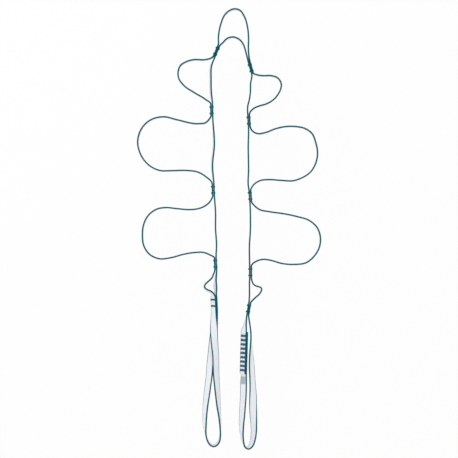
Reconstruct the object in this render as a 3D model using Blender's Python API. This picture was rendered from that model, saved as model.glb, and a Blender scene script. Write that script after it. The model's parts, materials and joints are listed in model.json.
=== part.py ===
# Climbing daisy chain
#
# A flat woven tape is closed into one long ring by a sewn splice. The ring is pressed double,
# and pairs of bar tacks join its two strands at ten places, which leaves nine pockets and an
# end loop at each tip. The chain lies folded at its middle pocket, as it is laid out flat: a
# crown at the top and two legs that hang down from it. The tape stands on its edge, and rolls
# over toward its face only in the end loops.
#
# Units are metres, Z is up, X runs across the two legs and Y along them, toward the crown.
# The origin is on the surface that the chain lies on, in the middle of the outline.
#
# Each sewn joint is followed by a fold line, where the next stretch of tape swings about the
# tape's own width. There the doubled tape ends in a round nose, and the next tapes end in a
# hollow round it, so that the fold turns without the tapes touching.

import math

import bmesh
import bpy
from mathutils import Matrix, Vector

MM = 0.001
UP = Vector((0.0, 0.0, 1.0))

# The tape
TAPE_WIDTH = 11.0 * MM
TAPE_THICKNESS = 2.0 * MM
CLEARANCE = 0.3 * MM
CROSSING_CLEARANCE = 0.7 * MM
CUT_OVERRUN = 1.0 * MM

# The bar tacks: a pad of thread on each face, and stitches that pass through both tapes
BAR_SPACING = 9.0 * MM
BAR_MARGIN = 1.2 * MM
BAR_BREADTH = 1.9 * MM
BAR_HEIGHT = 0.8 * MM
BAR_TAPER_SHARE = 0.72
STITCH_SIZE = 0.6 * MM
STITCHES_PER_BAR = 2
TACK_MARGIN = 3.5 * MM

# The splice in the right end loop
SPLICE_ROWS = 9
SPLICE_ROW_PITCH = 6.1 * MM
SPLICE_ROW_BREADTH = 2.4 * MM
SPLICE_ROW_HEIGHT = 0.55 * MM
SPLICE_ROW_MARGIN = 0.7 * MM
SPLICE_END_MARGIN = 5.6 * MM

# The bare label beside the splice
LABEL_LENGTH = 11.4 * MM
LABEL_WIDTH = 8.0 * MM
LABEL_THICKNESS = 0.35 * MM
LABEL_FROM_SPLICE = 2.8 * MM
LABEL_EDGE_MARGIN = 0.4 * MM

# The crown: the folded middle of the chain
CROWN_SPREAD = 54.1 * MM
CROWN_STAGGER = 23.9 * MM
CROWN_POCKET_RISE = 67.2 * MM
CROWN_ARCH_RISE = 27.4 * MM

# The pockets: the mouth is the distance between joints, the reach how far the tape stands out
LEFT_1_MOUTH = 68.5 * MM
LEFT_1_REACH = 50.5 * MM
LEFT_2_MOUTH = 97.3 * MM
LEFT_2_REACH = 106.1 * MM
LEFT_3_MOUTH = 89.2 * MM
LEFT_3_REACH = 102.8 * MM
LEFT_4_MOUTH = 39.7 * MM
LEFT_4_REACH = 15.0 * MM
RIGHT_1_MOUTH = 59.5 * MM
RIGHT_1_REACH = 43.3 * MM
RIGHT_2_MOUTH = 91.3 * MM
RIGHT_2_REACH = 96.7 * MM
RIGHT_3_MOUTH = 92.6 * MM
RIGHT_3_REACH = 99.3 * MM
RIGHT_4_MOUTH = 35.9 * MM
RIGHT_4_REACH = 16.6 * MM

# The end loops
LEFT_LOOP_LENGTH = 195.7 * MM
LEFT_LOOP_SPREAD = 22.7 * MM
RIGHT_LOOP_LENGTH = 191.3 * MM
RIGHT_LOOP_SPREAD = 22.7 * MM

# How finely a bend is divided, as angles and as a share of the tape's width
TURN_STEP = math.radians(11.0)
ROLL_STEP = math.radians(5.0)
LONGEST_STEP = 2.2 * TAPE_WIDTH
SPAN_DIVISIONS = 20
FOLD_SEGMENTS = 28
SHARP_ANGLE = math.radians(35.0)

# Sizes that follow from those above
LAYER_PITCH = TAPE_THICKNESS + CLEARANCE
LAYER_OFFSET = LAYER_PITCH / 2
NOSE_RADIUS = LAYER_OFFSET + TAPE_THICKNESS / 2
TACK_RUN = BAR_SPACING + 2 * TACK_MARGIN
SPLICE_RUN = (SPLICE_ROWS - 1) * SPLICE_ROW_PITCH + 2 * SPLICE_END_MARGIN
BAR_LENGTH = TAPE_WIDTH - 2 * BAR_MARGIN
SPLICE_ROW_LENGTH = TAPE_WIDTH - 2 * SPLICE_ROW_MARGIN

# Outlines. Each row of a crown table holds a share of the spread and a share of the rise,
# measured from the left fold.
CROWN_POCKET_SHARES = (
    (0.106, 0.406), (0.158, 0.648), (0.311, 0.911), (0.404, 0.969), (0.507, 1.000),
    (0.656, 0.980), (0.788, 0.841), (0.872, 0.615), (0.898, 0.406), (0.896, 0.131),
)
CROWN_ARCH_SHARES = (
    (0.228, 0.712), (0.330, 0.915), (0.486, 1.000), (0.663, 0.864), (0.766, 0.596),
    (0.825, 0.234),
)

# Each row of a pocket table holds a share of the mouth, from one joint toward the next, and a
# share of the reach.
LEFT_1_SHARES = (
    (0.034, 0.076), (0.080, 0.245), (0.096, 0.580), (0.144, 0.775), (0.234, 0.940),
    (0.336, 0.990), (0.490, 0.970), (0.643, 0.807), (0.779, 0.500), (0.901, 0.189),
)
LEFT_2_SHARES = (
    (0.048, 0.035), (0.102, 0.086), (0.114, 0.177), (0.050, 0.473), (0.005, 0.640),
    (0.038, 0.804), (0.122, 0.910), (0.240, 0.976), (0.374, 1.000), (0.507, 0.978),
    (0.650, 0.906), (0.747, 0.802), (0.792, 0.690), (0.794, 0.587), (0.797, 0.321),
    (0.814, 0.219), (0.888, 0.097),
)
LEFT_3_SHARES = (
    (0.077, 0.038), (0.160, 0.114), (0.207, 0.222), (0.217, 0.326), (0.195, 0.515),
    (0.174, 0.664), (0.190, 0.777), (0.293, 0.911), (0.442, 0.979), (0.602, 0.998),
    (0.772, 0.983), (0.912, 0.906), (0.983, 0.786), (0.972, 0.600), (0.929, 0.449),
    (0.904, 0.300), (0.908, 0.151), (0.949, 0.070),
)
LEFT_4_SHARES = (
    (0.180, 0.150), (0.330, 0.360), (0.455, 0.680), (0.550, 0.930), (0.640, 0.990),
    (0.715, 0.860), (0.765, 0.600), (0.800, 0.340),
)
RIGHT_1_SHARES = (
    (0.030, 0.150), (0.040, 0.342), (0.022, 0.605), (0.057, 0.831), (0.130, 0.934),
    (0.215, 0.981), (0.325, 0.969), (0.471, 0.886), (0.610, 0.736), (0.697, 0.563),
    (0.782, 0.280), (0.844, 0.138),
)
RIGHT_2_SHARES = (
    (0.090, 0.058), (0.121, 0.132), (0.105, 0.234), (0.044, 0.392), (0.015, 0.527),
    (0.015, 0.684), (0.045, 0.815), (0.128, 0.923), (0.265, 0.974), (0.429, 1.000),
    (0.596, 0.969), (0.727, 0.892), (0.813, 0.768), (0.855, 0.655), (0.850, 0.452),
    (0.837, 0.273), (0.856, 0.160), (0.927, 0.069),
)
RIGHT_3_SHARES = (
    (0.057, 0.047), (0.120, 0.122), (0.157, 0.274), (0.186, 0.470), (0.230, 0.667),
    (0.291, 0.843), (0.401, 0.954), (0.556, 1.000), (0.695, 0.986), (0.843, 0.906),
    (0.935, 0.800), (0.964, 0.625), (0.950, 0.449), (0.904, 0.296), (0.888, 0.187),
    (0.906, 0.108),
)
RIGHT_4_SHARES = (
    (0.142, 0.170), (0.270, 0.350), (0.349, 0.788), (0.444, 0.975), (0.596, 0.870),
    (0.729, 0.578), (0.893, 0.232),
)

# Each row of a bow table holds two shares of the mouth: how far along the straight tape, and
# how far it bows outward there.
LEFT_1_BOW_SHARES = ((0.200, 0.052), (0.480, 0.049), (0.740, 0.032))
LEFT_2_BOW_SHARES = ((0.430, -0.018), (0.730, 0.015))
LEFT_3_BOW_SHARES = ((0.270, -0.011), (0.540, -0.004), (0.790, -0.013))
LEFT_4_BOW_SHARES = ((0.400, 0.003), (0.740, -0.034))
RIGHT_1_BOW_SHARES = ((0.260, 0.000), (0.460, 0.013), (0.640, 0.005), (0.800, -0.019))
RIGHT_2_BOW_SHARES = ((0.330, -0.006), (0.690, -0.004), (0.930, -0.010))
RIGHT_3_BOW_SHARES = ((0.300, 0.010), (0.480, 0.008), (0.640, -0.003))
RIGHT_4_BOW_SHARES = ((0.200, -0.003), (0.450, 0.006), (0.780, 0.014))

# Each row of a strand table holds a share of the loop's length, a share of its spread and the
# tape's roll in degrees about the way it runs. The left loop's strands cross near the joint:
# the returning strand lies over the outgoing one, row by row.
LEFT_LOOP_CROSSING_SHARES = (
    (0.072, 0.025, -45.0, -0.038, -130.0),
    (0.144, -0.020, -58.0, -0.040, -107.0),
    (0.202, -0.075, -66.0, -0.025, -90.0),
    (0.267, -0.138, -68.0, 0.012, -75.0),
    (0.347, -0.210, -65.0, 0.066, -60.0),
    (0.419, -0.288, -58.0, 0.080, -53.0),
    (0.484, -0.325, -56.0, 0.095, -50.0),
)
LEFT_LOOP_BIGHT_SHARES = (
    (0.564, -0.410, -53.0), (0.636, -0.485, -48.0), (0.708, -0.560, -40.0),
    (0.781, -0.606, -33.0), (0.855, -0.606, -22.0), (0.915, -0.556, -6.0),
    (0.960, -0.444, 0.0), (0.988, -0.288, 3.0), (1.000, -0.069, 7.0), (0.991, 0.125, 9.0),
    (0.965, 0.288, 8.0), (0.930, 0.352, 4.0), (0.871, 0.363, -3.0), (0.795, 0.325, -12.0),
    (0.705, 0.245, -27.0), (0.614, 0.180, -37.0), (0.542, 0.130, -44.0),
)
RIGHT_TAIL_SHARES = ((0.045, -0.115, -6.0), (0.088, -0.180, -22.0))
RIGHT_LOOP_SHARES = (
    (0.520, -0.284, -46.0), (0.600, -0.306, -47.0), (0.675, -0.350, -48.0),
    (0.748, -0.400, -45.0), (0.830, -0.419, -34.0), (0.904, -0.372, -20.0),
    (0.956, -0.275, -10.0), (0.985, -0.150, 2.0), (0.993, 0.050, 15.0), (0.970, 0.200, 28.0),
    (0.934, 0.320, 38.0), (0.882, 0.380, 44.0), (0.823, 0.380, 52.0), (0.748, 0.350, 72.0),
    (0.689, 0.331, 90.0), (0.622, 0.325, 108.0), (0.548, 0.306, 127.0), (0.474, 0.275, 135.0),
    (0.385, 0.238, 138.0), (0.303, 0.206, 154.0), (0.229, 0.194, 172.0), (0.154, 0.194, 180.0),
    (0.095, 0.150, 180.0), (0.043, 0.084, 180.0),
)

# Where the doubled tape of the splice lies, and how far it is rolled over
SPLICE_DOWN_SHARE = 0.132
SPLICE_ACROSS_SHARE = -0.206
SPLICE_HEADING = math.radians(-1.6)
SPLICE_ROLL = math.radians(-43.0)
LAST_LEFT_ROLL = math.radians(-38.0)

# Doubled tape that rolls over before a joint: shares of the lead's length and of the roll
ROLL_LEAD = 5.5 * MM
LEAD_SHARES = ((1.0, 0.5), (0.5, 0.82))
LEAD_SPREAD_SHARE = 1.4

LEFT, RIGHT = -1, 1


def rest_height(roll):
    """Height of the tape's middle when its lowest edge lies on the surface."""
    return (TAPE_WIDTH * abs(math.cos(roll)) + TAPE_THICKNESS * abs(math.sin(roll))) / 2


def doubled_rest_height(roll, bar_length, bar_height):
    """Height of the middle of two sewn layers, whose tape or thread touches the surface."""
    tape = rest_height(roll) + LAYER_OFFSET * abs(math.sin(roll))
    stack = NOSE_RADIUS + CLEARANCE + bar_height
    thread = bar_length / 2 * abs(math.cos(roll)) + stack * abs(math.sin(roll))
    return max(tape, thread)


def heading_vector(heading):
    """A level direction, as an angle from straight down the leg toward +X."""
    return Vector((math.sin(heading), -math.cos(heading), 0.0))


class Run:
    """A straight run of doubled tape: a start, a heading, a roll and a length."""

    def __init__(self, start, heading, roll, length, bar_length, bar_height):
        self.heading = heading
        self.along = heading_vector(heading)
        self.roll = roll
        self.length = length
        right_hand = self.along.cross(UP)
        self.face = right_hand * math.cos(roll) - UP * math.sin(roll)
        self.width = UP * math.cos(roll) + right_hand * math.sin(roll)
        height = doubled_rest_height(roll, bar_length, bar_height)
        self.start = Vector((start.x, start.y, height))

    def place(self, distance, offset=0.0):
        """A point at a distance along the run, set off toward one face."""
        return self.start + self.along * distance + self.face * offset

    def matrix(self, distance):
        """Axes at a distance along the run: X to the face, Y along, Z across the width."""
        axes = Matrix((self.face, self.along, self.width)).transposed().to_4x4()
        return Matrix.Translation(self.place(distance)) @ axes

    def fold(self):
        """The middle of the fold line at the end of the run."""
        return self.place(self.length)


def tack_run(start, heading, roll=0.0):
    """The doubled tape of one bar tacked joint."""
    return Run(start, heading, roll, TACK_RUN, BAR_LENGTH, BAR_HEIGHT)


class Station:
    """A point that a tape passes through, with its roll there."""

    def __init__(self, place, roll):
        self.place = place
        self.roll = roll


def resting(flat_place, roll):
    """A station where the tape's lowest edge lies on the surface."""
    return Station(Vector((flat_place.x, flat_place.y, rest_height(roll))), roll)


def smooth_line(stations, first_along, last_along):
    """Dense stations on a cubic line through the given ones, leaving and arriving straight."""
    places = [station.place for station in stations]
    rolls = [station.roll for station in stations]
    spans = [(after - before).length for before, after in zip(places, places[1:])]
    slopes = [first_along]
    roll_slopes = [0.0]
    for i in range(1, len(places) - 1):
        before, after = spans[i - 1], spans[i]
        into = (places[i] - places[i - 1]) / before
        out_of = (places[i + 1] - places[i]) / after
        slopes.append((into * after + out_of * before) / (before + after))
        roll_into = (rolls[i] - rolls[i - 1]) / before
        roll_out = (rolls[i + 1] - rolls[i]) / after
        roll_slopes.append((roll_into * after + roll_out * before) / (before + after))
    slopes.append(last_along)
    roll_slopes.append(0.0)
    line = [stations[0]]
    for i, span in enumerate(spans):
        for step in range(1, SPAN_DIVISIONS + 1):
            t = step / SPAN_DIVISIONS
            start_part = 2 * t**3 - 3 * t**2 + 1
            start_slope = (t**3 - 2 * t**2 + t) * span
            end_part = 3 * t**2 - 2 * t**3
            end_slope = (t**3 - t**2) * span
            roll = (rolls[i] * start_part + roll_slopes[i] * start_slope
                    + rolls[i + 1] * end_part + roll_slopes[i + 1] * end_slope)
            place = (places[i] * start_part + slopes[i] * start_slope
                     + places[i + 1] * end_part + slopes[i + 1] * end_slope)
            place.z = max(place.z, rest_height(roll))
            line.append(Station(place, roll))
    return line


def thinned(line):
    """The stations of a dense line that its bends and rolls need."""
    kept = [line[0], line[1]]
    length = 0.0
    for before, here, after in zip(line[1:], line[2:], line[3:]):
        length += (here.place - before.place).length
        start = kept[-1]
        chord = here.place - start.place
        behind = start.place - kept[-2].place
        ahead = after.place - here.place
        turned = chord.angle(behind) + ahead.angle(chord)
        rolled = abs(here.roll - start.roll)
        if turned > TURN_STEP or rolled > ROLL_STEP or length > LONGEST_STEP:
            kept.append(here)
            length = 0.0
    if kept[-1] is not line[-2]:
        kept.append(line[-2])
    kept.append(line[-1])
    return kept


def collection_named(name):
    collection = bpy.data.collections.new(name)
    bpy.context.scene.collection.children.link(collection)
    return collection


def principled(name, look):
    colour, roughness = look
    material = bpy.data.materials.new(name)
    material.use_nodes = True
    shader = material.node_tree.nodes["Principled BSDF"]
    shader.inputs["Base Color"].default_value = (*colour, 1.0)
    shader.inputs["Roughness"].default_value = roughness
    shader.inputs["Metallic"].default_value = 0.0
    material.diffuse_color = (*colour, 1.0)
    return material


def clear_scene():
    for thing in list(bpy.data.objects):
        bpy.data.objects.remove(thing)


clear_scene()
PIECES = collection_named("climbing_daisy_chain")
CUTTERS = collection_named("cutters")

# Each look is a colour and a roughness
TAPE_LOOK = ((0.78, 0.86, 0.88), 0.75)
THREAD_LOOK = ((0.03, 0.16, 0.24), 0.6)
LABEL_LOOK = ((0.72, 0.74, 0.76), 0.55)


def set_as_guide(thing):
    thing.hide_render = True
    thing.display_type = "WIRE"


def section_outline(name, width, thickness):
    """The tape's section, a flat outline that a line can carry along."""
    outline = bpy.data.curves.new(name, "CURVE")
    outline.dimensions = "2D"
    spline = outline.splines.new("POLY")
    corners = ((-1, -1), (-1, 1), (1, 1), (1, -1))
    spline.points.add(len(corners) - 1)
    for point, (x, y) in zip(spline.points, corners):
        point.co = (x * thickness / 2, y * width / 2, 0.0, 1.0)
    spline.use_cyclic_u = True
    guide = bpy.data.objects.new(name, outline)
    CUTTERS.objects.link(guide)
    set_as_guide(guide)
    return guide


def evaluated_mesh(thing):
    bpy.context.view_layer.update()
    graph = bpy.context.evaluated_depsgraph_get()
    return bpy.data.meshes.new_from_object(thing.evaluated_get(graph))


def link_piece(name, mesh, look):
    """A piece with its own material, smooth round its bends and sharp at its corners."""
    mesh.name = name
    mesh.materials.clear()
    mesh.materials.append(principled(name, look))
    mesh.shade_smooth()
    mesh.set_sharp_from_angle(angle=SHARP_ANGLE)
    piece = bpy.data.objects.new(name, mesh)
    PIECES.objects.link(piece)
    return piece


def weld(mesh):
    """Close a mesh whose end caps are loose."""
    work = bmesh.new()
    work.from_mesh(mesh)
    bmesh.ops.remove_doubles(work, verts=work.verts, dist=0.01 * CLEARANCE)
    work.to_mesh(mesh)
    work.free()


def swept(name, line, section, look):
    """A strip of the given section carried along a line, as a closed mesh."""
    curve = bpy.data.curves.new(name + "_line", "CURVE")
    curve.dimensions = "3D"
    curve.twist_mode = "Z_UP"
    curve.bevel_mode = "OBJECT"
    curve.bevel_object = section
    curve.use_fill_caps = True
    spline = curve.splines.new("POLY")
    spline.points.add(len(line) - 1)
    for point, station in zip(spline.points, line):
        point.co = (*station.place, 1.0)
        point.tilt = station.roll
    carrier = bpy.data.objects.new(name + "_line", curve)
    CUTTERS.objects.link(carrier)
    mesh = evaluated_mesh(carrier)
    weld(mesh)
    piece = link_piece(name, mesh, look)
    piece.matrix_world = carrier.matrix_world
    bpy.data.objects.remove(carrier)
    bpy.data.curves.remove(curve)
    return piece


def boolean(piece, cutter, operation="DIFFERENCE"):
    modifier = piece.modifiers.new(cutter.name, "BOOLEAN")
    modifier.operation = operation
    modifier.solver = "EXACT"
    modifier.object = cutter


def cutter_from(name, mesh, matrix):
    cutter = bpy.data.objects.new(name, mesh)
    CUTTERS.objects.link(cutter)
    set_as_guide(cutter)
    cutter.matrix_world = matrix
    return cutter


def add_box(work, size, centre, outer_share=1.0):
    """A box in a bmesh; outer_share narrows the face that looks away from the tape."""
    made = bmesh.ops.create_cube(work, size=1.0)
    outward = 1.0 if centre.x > 0 else -1.0
    for vert in made["verts"]:
        share = outer_share if vert.co.x * outward > 0 else 1.0
        vert.co = Vector((vert.co.x * size.x, vert.co.y * size.y * share, vert.co.z * size.z * share))
        vert.co += centre


def box_object(name, size, centre, outer_share=1.0):
    work = bmesh.new()
    add_box(work, size, centre, outer_share)
    mesh = bpy.data.meshes.new(name)
    work.to_mesh(mesh)
    work.free()
    box = bpy.data.objects.new(name, mesh)
    CUTTERS.objects.link(box)
    return box


def stitch_places(length):
    """Where the stitches of a bar pass through the tape, across its width."""
    pitch = length / STITCHES_PER_BAR
    return [(i + 0.5) * pitch - length / 2 for i in range(STITCHES_PER_BAR)]


def bar_mesh(name, length, breadth, height):
    """Both thread pads of a bar, joined by the stitches that go through the two tapes."""
    pad_middle = NOSE_RADIUS + CLEARANCE + height / 2
    pad = Vector((height, breadth, length))
    stitch = Vector((2 * pad_middle, STITCH_SIZE, STITCH_SIZE))
    front = box_object(name + "_front", pad, Vector((pad_middle, 0.0, 0.0)), BAR_TAPER_SHARE)
    parts = [box_object(name + "_back", pad, Vector((-pad_middle, 0.0, 0.0)), BAR_TAPER_SHARE)]
    for number, place in enumerate(stitch_places(length)):
        parts.append(box_object(f"{name}_stitch_{number}", stitch, Vector((0.0, 0.0, place))))
    back, stitches = parts[0], parts[1:]
    for part in stitches:
        boolean(front, part, "UNION")
    boolean(front, back, "UNION")
    mesh = evaluated_mesh(front)
    for part in [front] + parts:
        bpy.data.objects.remove(part)
    return mesh


def needle_mesh(name, length):
    """Holes for the stitches of one bar, each a clearance wider than its stitch."""
    hole = STITCH_SIZE + 2 * CLEARANCE
    size = Vector((2 * (NOSE_RADIUS + CUT_OVERRUN), hole, hole))
    work = bmesh.new()
    for place in stitch_places(length):
        add_box(work, size, Vector((0.0, 0.0, place)))
    mesh = bpy.data.meshes.new(name)
    work.to_mesh(mesh)
    work.free()
    return mesh


def nose_cutter_mesh():
    """A block with a round bay: it leaves the end of the doubled tape as a round nose."""
    half = NOSE_RADIUS + CUT_OVERRUN
    outline = bpy.data.curves.new("nose_outline", "CURVE")
    outline.dimensions = "2D"
    outline.fill_mode = "BOTH"
    outline.extrude = TAPE_WIDTH / 2 + CUT_OVERRUN
    steps = FOLD_SEGMENTS // 2
    arc = [math.pi * (1 - i / steps) for i in range(steps + 1)]
    corners = [(NOSE_RADIUS * math.cos(angle), NOSE_RADIUS * math.sin(angle)) for angle in arc]
    corners += [(half, 0.0), (half, half), (-half, half), (-half, 0.0)]
    spline = outline.splines.new("POLY")
    spline.points.add(len(corners) - 1)
    for point, (x, y) in zip(spline.points, corners):
        point.co = (x, y, 0.0, 1.0)
    spline.use_cyclic_u = True
    block = bpy.data.objects.new("nose_outline", outline)
    CUTTERS.objects.link(block)
    mesh = evaluated_mesh(block)
    weld(mesh)
    bpy.data.objects.remove(block)
    return mesh


def hollow_cutter_mesh():
    """A round bar: it hollows the ends of the next tapes round the nose."""
    work = bmesh.new()
    bmesh.ops.create_cone(work, cap_ends=True, segments=FOLD_SEGMENTS,
                          radius1=NOSE_RADIUS + CLEARANCE, radius2=NOSE_RADIUS + CLEARANCE,
                          depth=TAPE_WIDTH + 2 * CUT_OVERRUN)
    mesh = bpy.data.meshes.new("fold_hollow")
    work.to_mesh(mesh)
    work.free()
    return mesh


TAPE_SECTION = section_outline("tape_section", TAPE_WIDTH, TAPE_THICKNESS)
LABEL_SECTION = section_outline("label_section", LABEL_WIDTH, LABEL_THICKNESS)
TACK_MESH = bar_mesh("bar_tack", BAR_LENGTH, BAR_BREADTH, BAR_HEIGHT)
TACK_NEEDLES = needle_mesh("tack_needles", BAR_LENGTH)
ROW_MESH = bar_mesh("splice_row", SPLICE_ROW_LENGTH, SPLICE_ROW_BREADTH, SPLICE_ROW_HEIGHT)
ROW_NEEDLES = needle_mesh("row_needles", SPLICE_ROW_LENGTH)
NOSE_MESH = nose_cutter_mesh()
HOLLOW_MESH = hollow_cutter_mesh()


def make_body(name, matrix, parent):
    """An empty on the fold line, which carries the pieces that swing about it."""
    body = bpy.data.objects.new(name, None)
    body.empty_display_size = TAPE_WIDTH
    PIECES.objects.link(body)
    body.parent = parent
    bpy.context.view_layer.update()
    body.matrix_world = matrix
    bpy.context.view_layer.update()
    return body


def carry(body, *things):
    """Parent things to a body without moving them."""
    for thing in things:
        thing.parent = body
        thing.matrix_parent_inverse = body.matrix_world.inverted()


def sew(run, distances, strands, mesh, needles, body, names):
    """Put a bar at each distance along a doubled run, and pierce both tapes for it."""
    for name, distance in zip(names, distances):
        matrix = run.matrix(distance)
        bar = link_piece(name, mesh.copy(), THREAD_LOOK)
        bar.matrix_world = matrix
        cutter = cutter_from(name + "_needles", needles, matrix)
        for strand in strands:
            boolean(strand, cutter)
        bpy.context.view_layer.update()
        carry(body, bar, cutter)


def sew_tack(run, strands, body, name):
    """The two bar tacks of a joint, and the round nose at its fold line."""
    distances = (TACK_MARGIN, TACK_MARGIN + BAR_SPACING)
    names = (name + "_upper", name + "_lower")
    sew(run, distances, strands, TACK_MESH, TACK_NEEDLES, body, names)
    nose = cutter_from(name + "_nose", NOSE_MESH, run.matrix(run.length))
    for strand in strands:
        boolean(strand, nose)
    bpy.context.view_layer.update()
    carry(body, nose)


def hollow_ends(run, strands, body, name):
    """Hollow the tapes that start at a fold line."""
    hollow = cutter_from(name + "_hollow", HOLLOW_MESH, run.matrix(run.length))
    for strand in strands:
        boolean(strand, hollow)
    bpy.context.view_layer.update()
    carry(body, hollow)


def pocket_layer(side):
    """How far the pocket's tape lies from the middle of a joint; the spine is opposite."""
    return -side * LAYER_OFFSET


def blended_rolls(first, last, places):
    """Roll the places between two stations from one to the other, most of it at the far end."""
    reach = last.place - first.place
    rolled = []
    for place in places:
        share = min(max((place - first.place).dot(reach) / reach.length_squared, 0.0), 1.0)
        rolled.append(resting(place, first.roll + (last.roll - first.roll) * share * share))
    return rolled


def arrival(run, layer):
    """Where a tape joins a run, after the doubled tape has rolled over on its way there."""
    stations = []
    if run.roll:
        for distance_share, roll_share in LEAD_SHARES:
            place = run.place(-distance_share * ROLL_LEAD)
            lead = tack_run(place, run.heading, run.roll * roll_share)
            stations.append(Station(lead.place(0.0, layer * LEAD_SPREAD_SHARE), lead.roll))
    stations.append(Station(run.place(0.0, layer), run.roll))
    return stations


def strand_line(first_run, next_run, layer, middle_places):
    """A tape from a fold line, through its own outline, to the nose of the next joint."""
    start = Station(first_run.fold() + first_run.face * layer, first_run.roll)
    joined = arrival(next_run, layer)
    stations = [start] + blended_rolls(start, joined[0], middle_places) + joined
    line = thinned(smooth_line(stations, first_run.along, next_run.along))
    line.append(Station(next_run.place(next_run.length + NOSE_RADIUS, layer), next_run.roll))
    return line


class Stretch:
    """A pocket and the straight tape beside it, down to the next joint."""

    def __init__(self, mouth, reach, drift, pocket_shares, bow_shares, next_heading, next_roll=0.0):
        self.mouth = mouth
        self.reach = reach
        self.drift = math.radians(drift)
        self.pocket_shares = pocket_shares
        self.bow_shares = bow_shares
        self.next_heading = math.radians(next_heading)
        self.next_roll = next_roll


LEFT_STRETCHES = (
    Stretch(LEFT_1_MOUTH, LEFT_1_REACH, 3.2, LEFT_1_SHARES, LEFT_1_BOW_SHARES, -1.0),
    Stretch(LEFT_2_MOUTH, LEFT_2_REACH, -1.0, LEFT_2_SHARES, LEFT_2_BOW_SHARES, -2.4),
    Stretch(LEFT_3_MOUTH, LEFT_3_REACH, -1.6, LEFT_3_SHARES, LEFT_3_BOW_SHARES, -2.6),
    Stretch(LEFT_4_MOUTH, LEFT_4_REACH, 3.7, LEFT_4_SHARES, LEFT_4_BOW_SHARES, -2.8, LAST_LEFT_ROLL),
)
RIGHT_STRETCHES = (
    Stretch(RIGHT_1_MOUTH, RIGHT_1_REACH, -5.2, RIGHT_1_SHARES, RIGHT_1_BOW_SHARES, 3.4),
    Stretch(RIGHT_2_MOUTH, RIGHT_2_REACH, 0.5, RIGHT_2_SHARES, RIGHT_2_BOW_SHARES, 4.4),
    Stretch(RIGHT_3_MOUTH, RIGHT_3_REACH, -0.2, RIGHT_3_SHARES, RIGHT_3_BOW_SHARES, 0.4),
    Stretch(RIGHT_4_MOUTH, RIGHT_4_REACH, -2.0, RIGHT_4_SHARES, RIGHT_4_BOW_SHARES, -9.2),
)
LEFT_CROWN_HEADING = math.radians(23.0)
RIGHT_CROWN_HEADING = math.radians(16.0)


def build_stretch(side, name, number, run, stretch, parent):
    """One pocket, its straight tape and the next joint, hung on the fold line above them."""
    body = make_body(f"{name}_{number}", run.matrix(run.length), parent)
    fold = run.fold()
    down = heading_vector(side * stretch.drift)
    outward = Vector((-down.y, down.x, 0.0)) * side
    next_run = tack_run(fold + down * stretch.mouth, side * stretch.next_heading, stretch.next_roll)

    pocket_places = [fold + down * (along * stretch.mouth) + outward * (out * stretch.reach)
                     for along, out in stretch.pocket_shares]
    layer = pocket_layer(side)
    pocket_line = strand_line(run, next_run, layer, pocket_places)
    pocket = swept(f"pocket_{name}_{number}", pocket_line, TAPE_SECTION, TAPE_LOOK)

    spine_places = [fold + down * (along * stretch.mouth)
                    + outward * (bow * stretch.mouth - LAYER_OFFSET)
                    for along, bow in stretch.bow_shares]
    spine_line = strand_line(run, next_run, -layer, spine_places)
    spine = swept(f"spine_{name}_{number}", spine_line, TAPE_SECTION, TAPE_LOOK)

    carry(body, pocket, spine)
    hollow_ends(run, (pocket, spine), body, f"fold_{name}_{number}")
    sew_tack(next_run, (pocket, spine), body, f"bartack_{name}_{number + 1}")
    return body, next_run


def build_leg(side, name, run, stretches, crown):
    body = crown
    for number, stretch in enumerate(stretches, 1):
        body, run = build_stretch(side, name, number, run, stretch, body)
    return body, run


def crown_line(left_run, right_run, left_layer, right_layer, rise, shares):
    """A tape from the left fold line, over the crown, to the right fold line."""
    nose = TACK_RUN + NOSE_RADIUS
    places = [left_run.fold() + Vector((across * CROWN_SPREAD, up * rise, 0.0)) for across, up in shares]
    stations = [Station(left_run.place(0.0, left_layer), 0.0)]
    stations += [resting(place, 0.0) for place in places]
    stations.append(Station(right_run.place(0.0, right_layer), 0.0))
    line = thinned(smooth_line(stations, -left_run.along, right_run.along))
    line.insert(0, Station(left_run.place(nose, left_layer), 0.0))
    line.append(Station(right_run.place(nose, right_layer), 0.0))
    return line


def build_crown():
    """The folded middle: a pocket and an arch of straight tape between the first two joints."""
    left_start = -heading_vector(LEFT * LEFT_CROWN_HEADING) * TACK_RUN
    right_fold = Vector((CROWN_SPREAD, -CROWN_STAGGER, 0.0))
    right_start = right_fold - heading_vector(RIGHT * RIGHT_CROWN_HEADING) * TACK_RUN
    left_run = tack_run(left_start, LEFT * LEFT_CROWN_HEADING)
    right_run = tack_run(right_start, RIGHT * RIGHT_CROWN_HEADING)
    body = make_body("crown", Matrix.Identity(4), None)
    left_layer, right_layer = pocket_layer(LEFT), pocket_layer(RIGHT)
    pocket_line = crown_line(left_run, right_run, left_layer, right_layer,
                             CROWN_POCKET_RISE, CROWN_POCKET_SHARES)
    arch_line = crown_line(left_run, right_run, -left_layer, -right_layer,
                           CROWN_ARCH_RISE, CROWN_ARCH_SHARES)
    pocket = swept("pocket_top", pocket_line, TAPE_SECTION, TAPE_LOOK)
    spine = swept("spine_top", arch_line, TAPE_SECTION, TAPE_LOOK)
    carry(body, pocket, spine)
    sew_tack(left_run, (pocket, spine), body, "bartack_left_1")
    sew_tack(right_run, (pocket, spine), body, "bartack_right_1")
    return body, left_run, right_run


def section_corners(place, roll):
    """Corners of the tape's section seen along the leg, for a tape that runs down it."""
    half_width, half_thickness = TAPE_WIDTH / 2, TAPE_THICKNESS / 2
    corners = []
    for x, z in ((-half_thickness, -half_width), (-half_thickness, half_width),
                 (half_thickness, half_width), (half_thickness, -half_width)):
        corners.append((place.x + x * math.cos(roll) - z * math.sin(roll),
                        place.z + x * math.sin(roll) + z * math.cos(roll)))
    return corners


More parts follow.
